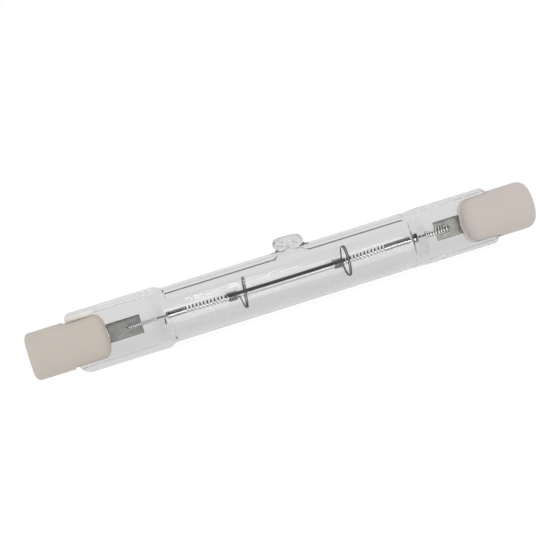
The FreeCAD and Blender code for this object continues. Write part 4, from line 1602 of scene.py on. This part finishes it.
@dataclass
class Studio:
    """The white table, the light and the camera."""

    places: LampPlaces
    table_half: float = 1.5
    distance: float = 280 * MM
    azimuth: float = -6.16
    roll: float = 17.32
    view_width: float = 16.89
    aim_along: float = -0.54 * MM
    aim_drop: float = -0.034 * MM
    diffuse_level: float = 0.9
    dark_rise: tuple[float, float] = (0.775, 0.88)
    dark_half_width: float = 0.4
    dark_level: float = 0.1

    def ray_share(self, sketch: NodeSketch) -> bpy.types.NodeSocket:
        """Pick out the rays that show the background: camera rays, and those off metal and through glass.

        Args:
            sketch: The tree to work in.

        Returns:
            The output that is 1 for such a ray.
        """
        light = sketch.add("ShaderNodeLightPath").outputs
        seen = sketch.math("MAXIMUM", light["Is Camera Ray"], light["Is Glossy Ray"])
        return sketch.math("MAXIMUM", seen, light["Is Transmission Ray"])

    def build_world(self) -> None:
        """White all round, with a dark flag high up, and plain light on matt surfaces."""
        world = bpy.data.worlds.new("studio")
        world.use_nodes = True
        bpy.context.scene.world = world
        sketch = NodeSketch(world.node_tree)
        way = sketch.add("ShaderNodeSeparateXYZ", {0: sketch.add("ShaderNodeTexCoord").outputs["Generated"]}).outputs
        aside = sketch.math("ABSOLUTE", way["X"])
        low, high = self.dark_rise
        flag = sketch.math("MULTIPLY", sketch.ramp(way["Z"], low, low + 0.02), sketch.ramp(way["Z"], high + 0.02, high))
        flag = sketch.math("MULTIPLY", flag, sketch.ramp(aside, self.dark_half_width + 0.1, self.dark_half_width))
        shaded = sketch.math("SUBTRACT", 1.0, sketch.math("MULTIPLY", flag, 1 - self.dark_level))
        light = sketch.add("ShaderNodeLightPath").outputs
        direct = sketch.math("MAXIMUM", shaded, light["Is Camera Ray"])
        shown = self.ray_share(sketch)
        level = sketch.math("ADD", sketch.math("MULTIPLY", direct, shown),
                            sketch.math("MULTIPLY", sketch.math("SUBTRACT", 1.0, shown), self.diffuse_level))
        background = sketch.add("ShaderNodeBackground", {"Color": (1, 1, 1, 1), "Strength": level})
        sketch.add("ShaderNodeOutputWorld", {"Surface": background.outputs[0]})

    def build_table(self) -> None:
        """A white table under the lamp, which keeps a faint shadow."""
        half = self.table_half
        table = mesh_object("table", np.array([(-half, -half, 0), (half, -half, 0), (half, half, 0), (-half, half, 0)]),
                            [(0, 1, 2, 3)], smooth=False)
        material, sketch = new_material("white_table")
        matt = sketch.add("ShaderNodeBsdfDiffuse", {"Color": (0.85, 0.85, 0.85, 1)}).outputs[0]
        glow = sketch.add("ShaderNodeEmission", {"Color": (1, 1, 1, 1), "Strength": 1.03}).outputs[0]
        share = sketch.math("MULTIPLY_ADD", self.ray_share(sketch), 0.16, 0.72)
        mixed = sketch.add("ShaderNodeMixShader", {0: share, 1: matt, 2: glow}).outputs[0]
        sketch.add("ShaderNodeOutputMaterial", {"Surface": mixed})
        table.data.materials.append(material)

    def build_light(self, name: str, place: Vector, target: Vector, size: tuple[float, float],
                    radiance: float) -> bpy.types.Object:
        """Hang one soft panel.

        Args:
            name: The light's name.
            place: Its middle.
            target: The point that it faces.
            size: Its width and height.
            radiance: Its brightness, where 1 is white.

        Returns:
            The panel.
        """
        light = bpy.data.lights.new(name, "AREA")
        light.shape = "RECTANGLE"
        light.size, light.size_y = size
        light.energy = radiance * math.pi * size[0] * size[1]
        panel = bpy.data.objects.new(name, light)
        panel.matrix_world = Matrix.Translation(place) @ (target - place).to_track_quat("-Z", "Y").to_matrix().to_4x4()
        panel.visible_camera = False
        bpy.context.scene.collection.objects.link(panel)
        return panel

    def build_lights(self) -> None:
        """A large soft key, two narrow strips that draw streaks on the tube, and a low card for the wires."""
        middle = Vector((0, 0, self.places.axis))
        key = self.build_light("key", middle + Vector((-0.25, -0.35, 0.4)), middle, (0.25, 0.25), 1.0)
        key.visible_glossy = False
        key.visible_transmission = False
        for number, rise in enumerate((0.208, 0.139)):
            place = middle + Vector((0.0173, -0.216, rise))
            self.build_light(f"strip_{number}", place, middle + Vector((0.0173, 0, 0)), (0.031, 0.006), 20.0)
        card = self.build_light("card", Vector((0, -0.013, 0.0004)), Vector((0, -0.013, 0.1)), (0.1, 0.016), 4.0)
        card.visible_glossy = False
        card.visible_diffuse = False

    def build_camera(self) -> None:
        """Put the camera at the photograph's viewing angle."""
        data = bpy.data.cameras.new("camera")
        data.angle = math.radians(self.view_width)
        data.clip_start = 0.001
        camera = bpy.data.objects.new("camera", data)
        target = Vector((self.aim_along, 0, self.places.axis - self.aim_drop))
        turn = math.radians(self.azimuth)
        away = Vector((math.sin(turn), -math.cos(turn), 0))
        look = (-away).to_track_quat("-Z", "Y").to_matrix().to_4x4()
        camera.matrix_world = (Matrix.Translation(target + away * self.distance) @ look
                               @ Matrix.Rotation(-math.radians(self.roll), 4, "Z"))
        bpy.context.scene.collection.objects.link(camera)
        bpy.context.scene.camera = camera

    def build(self) -> None:
        """Build the whole stage."""
        self.build_world()
        self.build_table()
        self.build_lights()
        self.build_camera()
        bpy.context.scene.view_settings.view_transform = "Standard"


def main() -> None:
    """Build every piece of the lamp and its stage."""
    logging.basicConfig(level=logging.INFO, format="%(name)s: %(message)s")
    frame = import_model()
    places = LampPlaces.read(frame["nodes"]["envelope"])
    Studio(places).build()
    Envelope(places).build()
    coil, support = coil_tree(), support_tree()
    Filament(places).build(coil, support)
    for side in Side:
        LeadSet(places, side).build(coil, frame["nodes"])
        Cap(places, side).build()


if __name__ == "__main__":
    main()
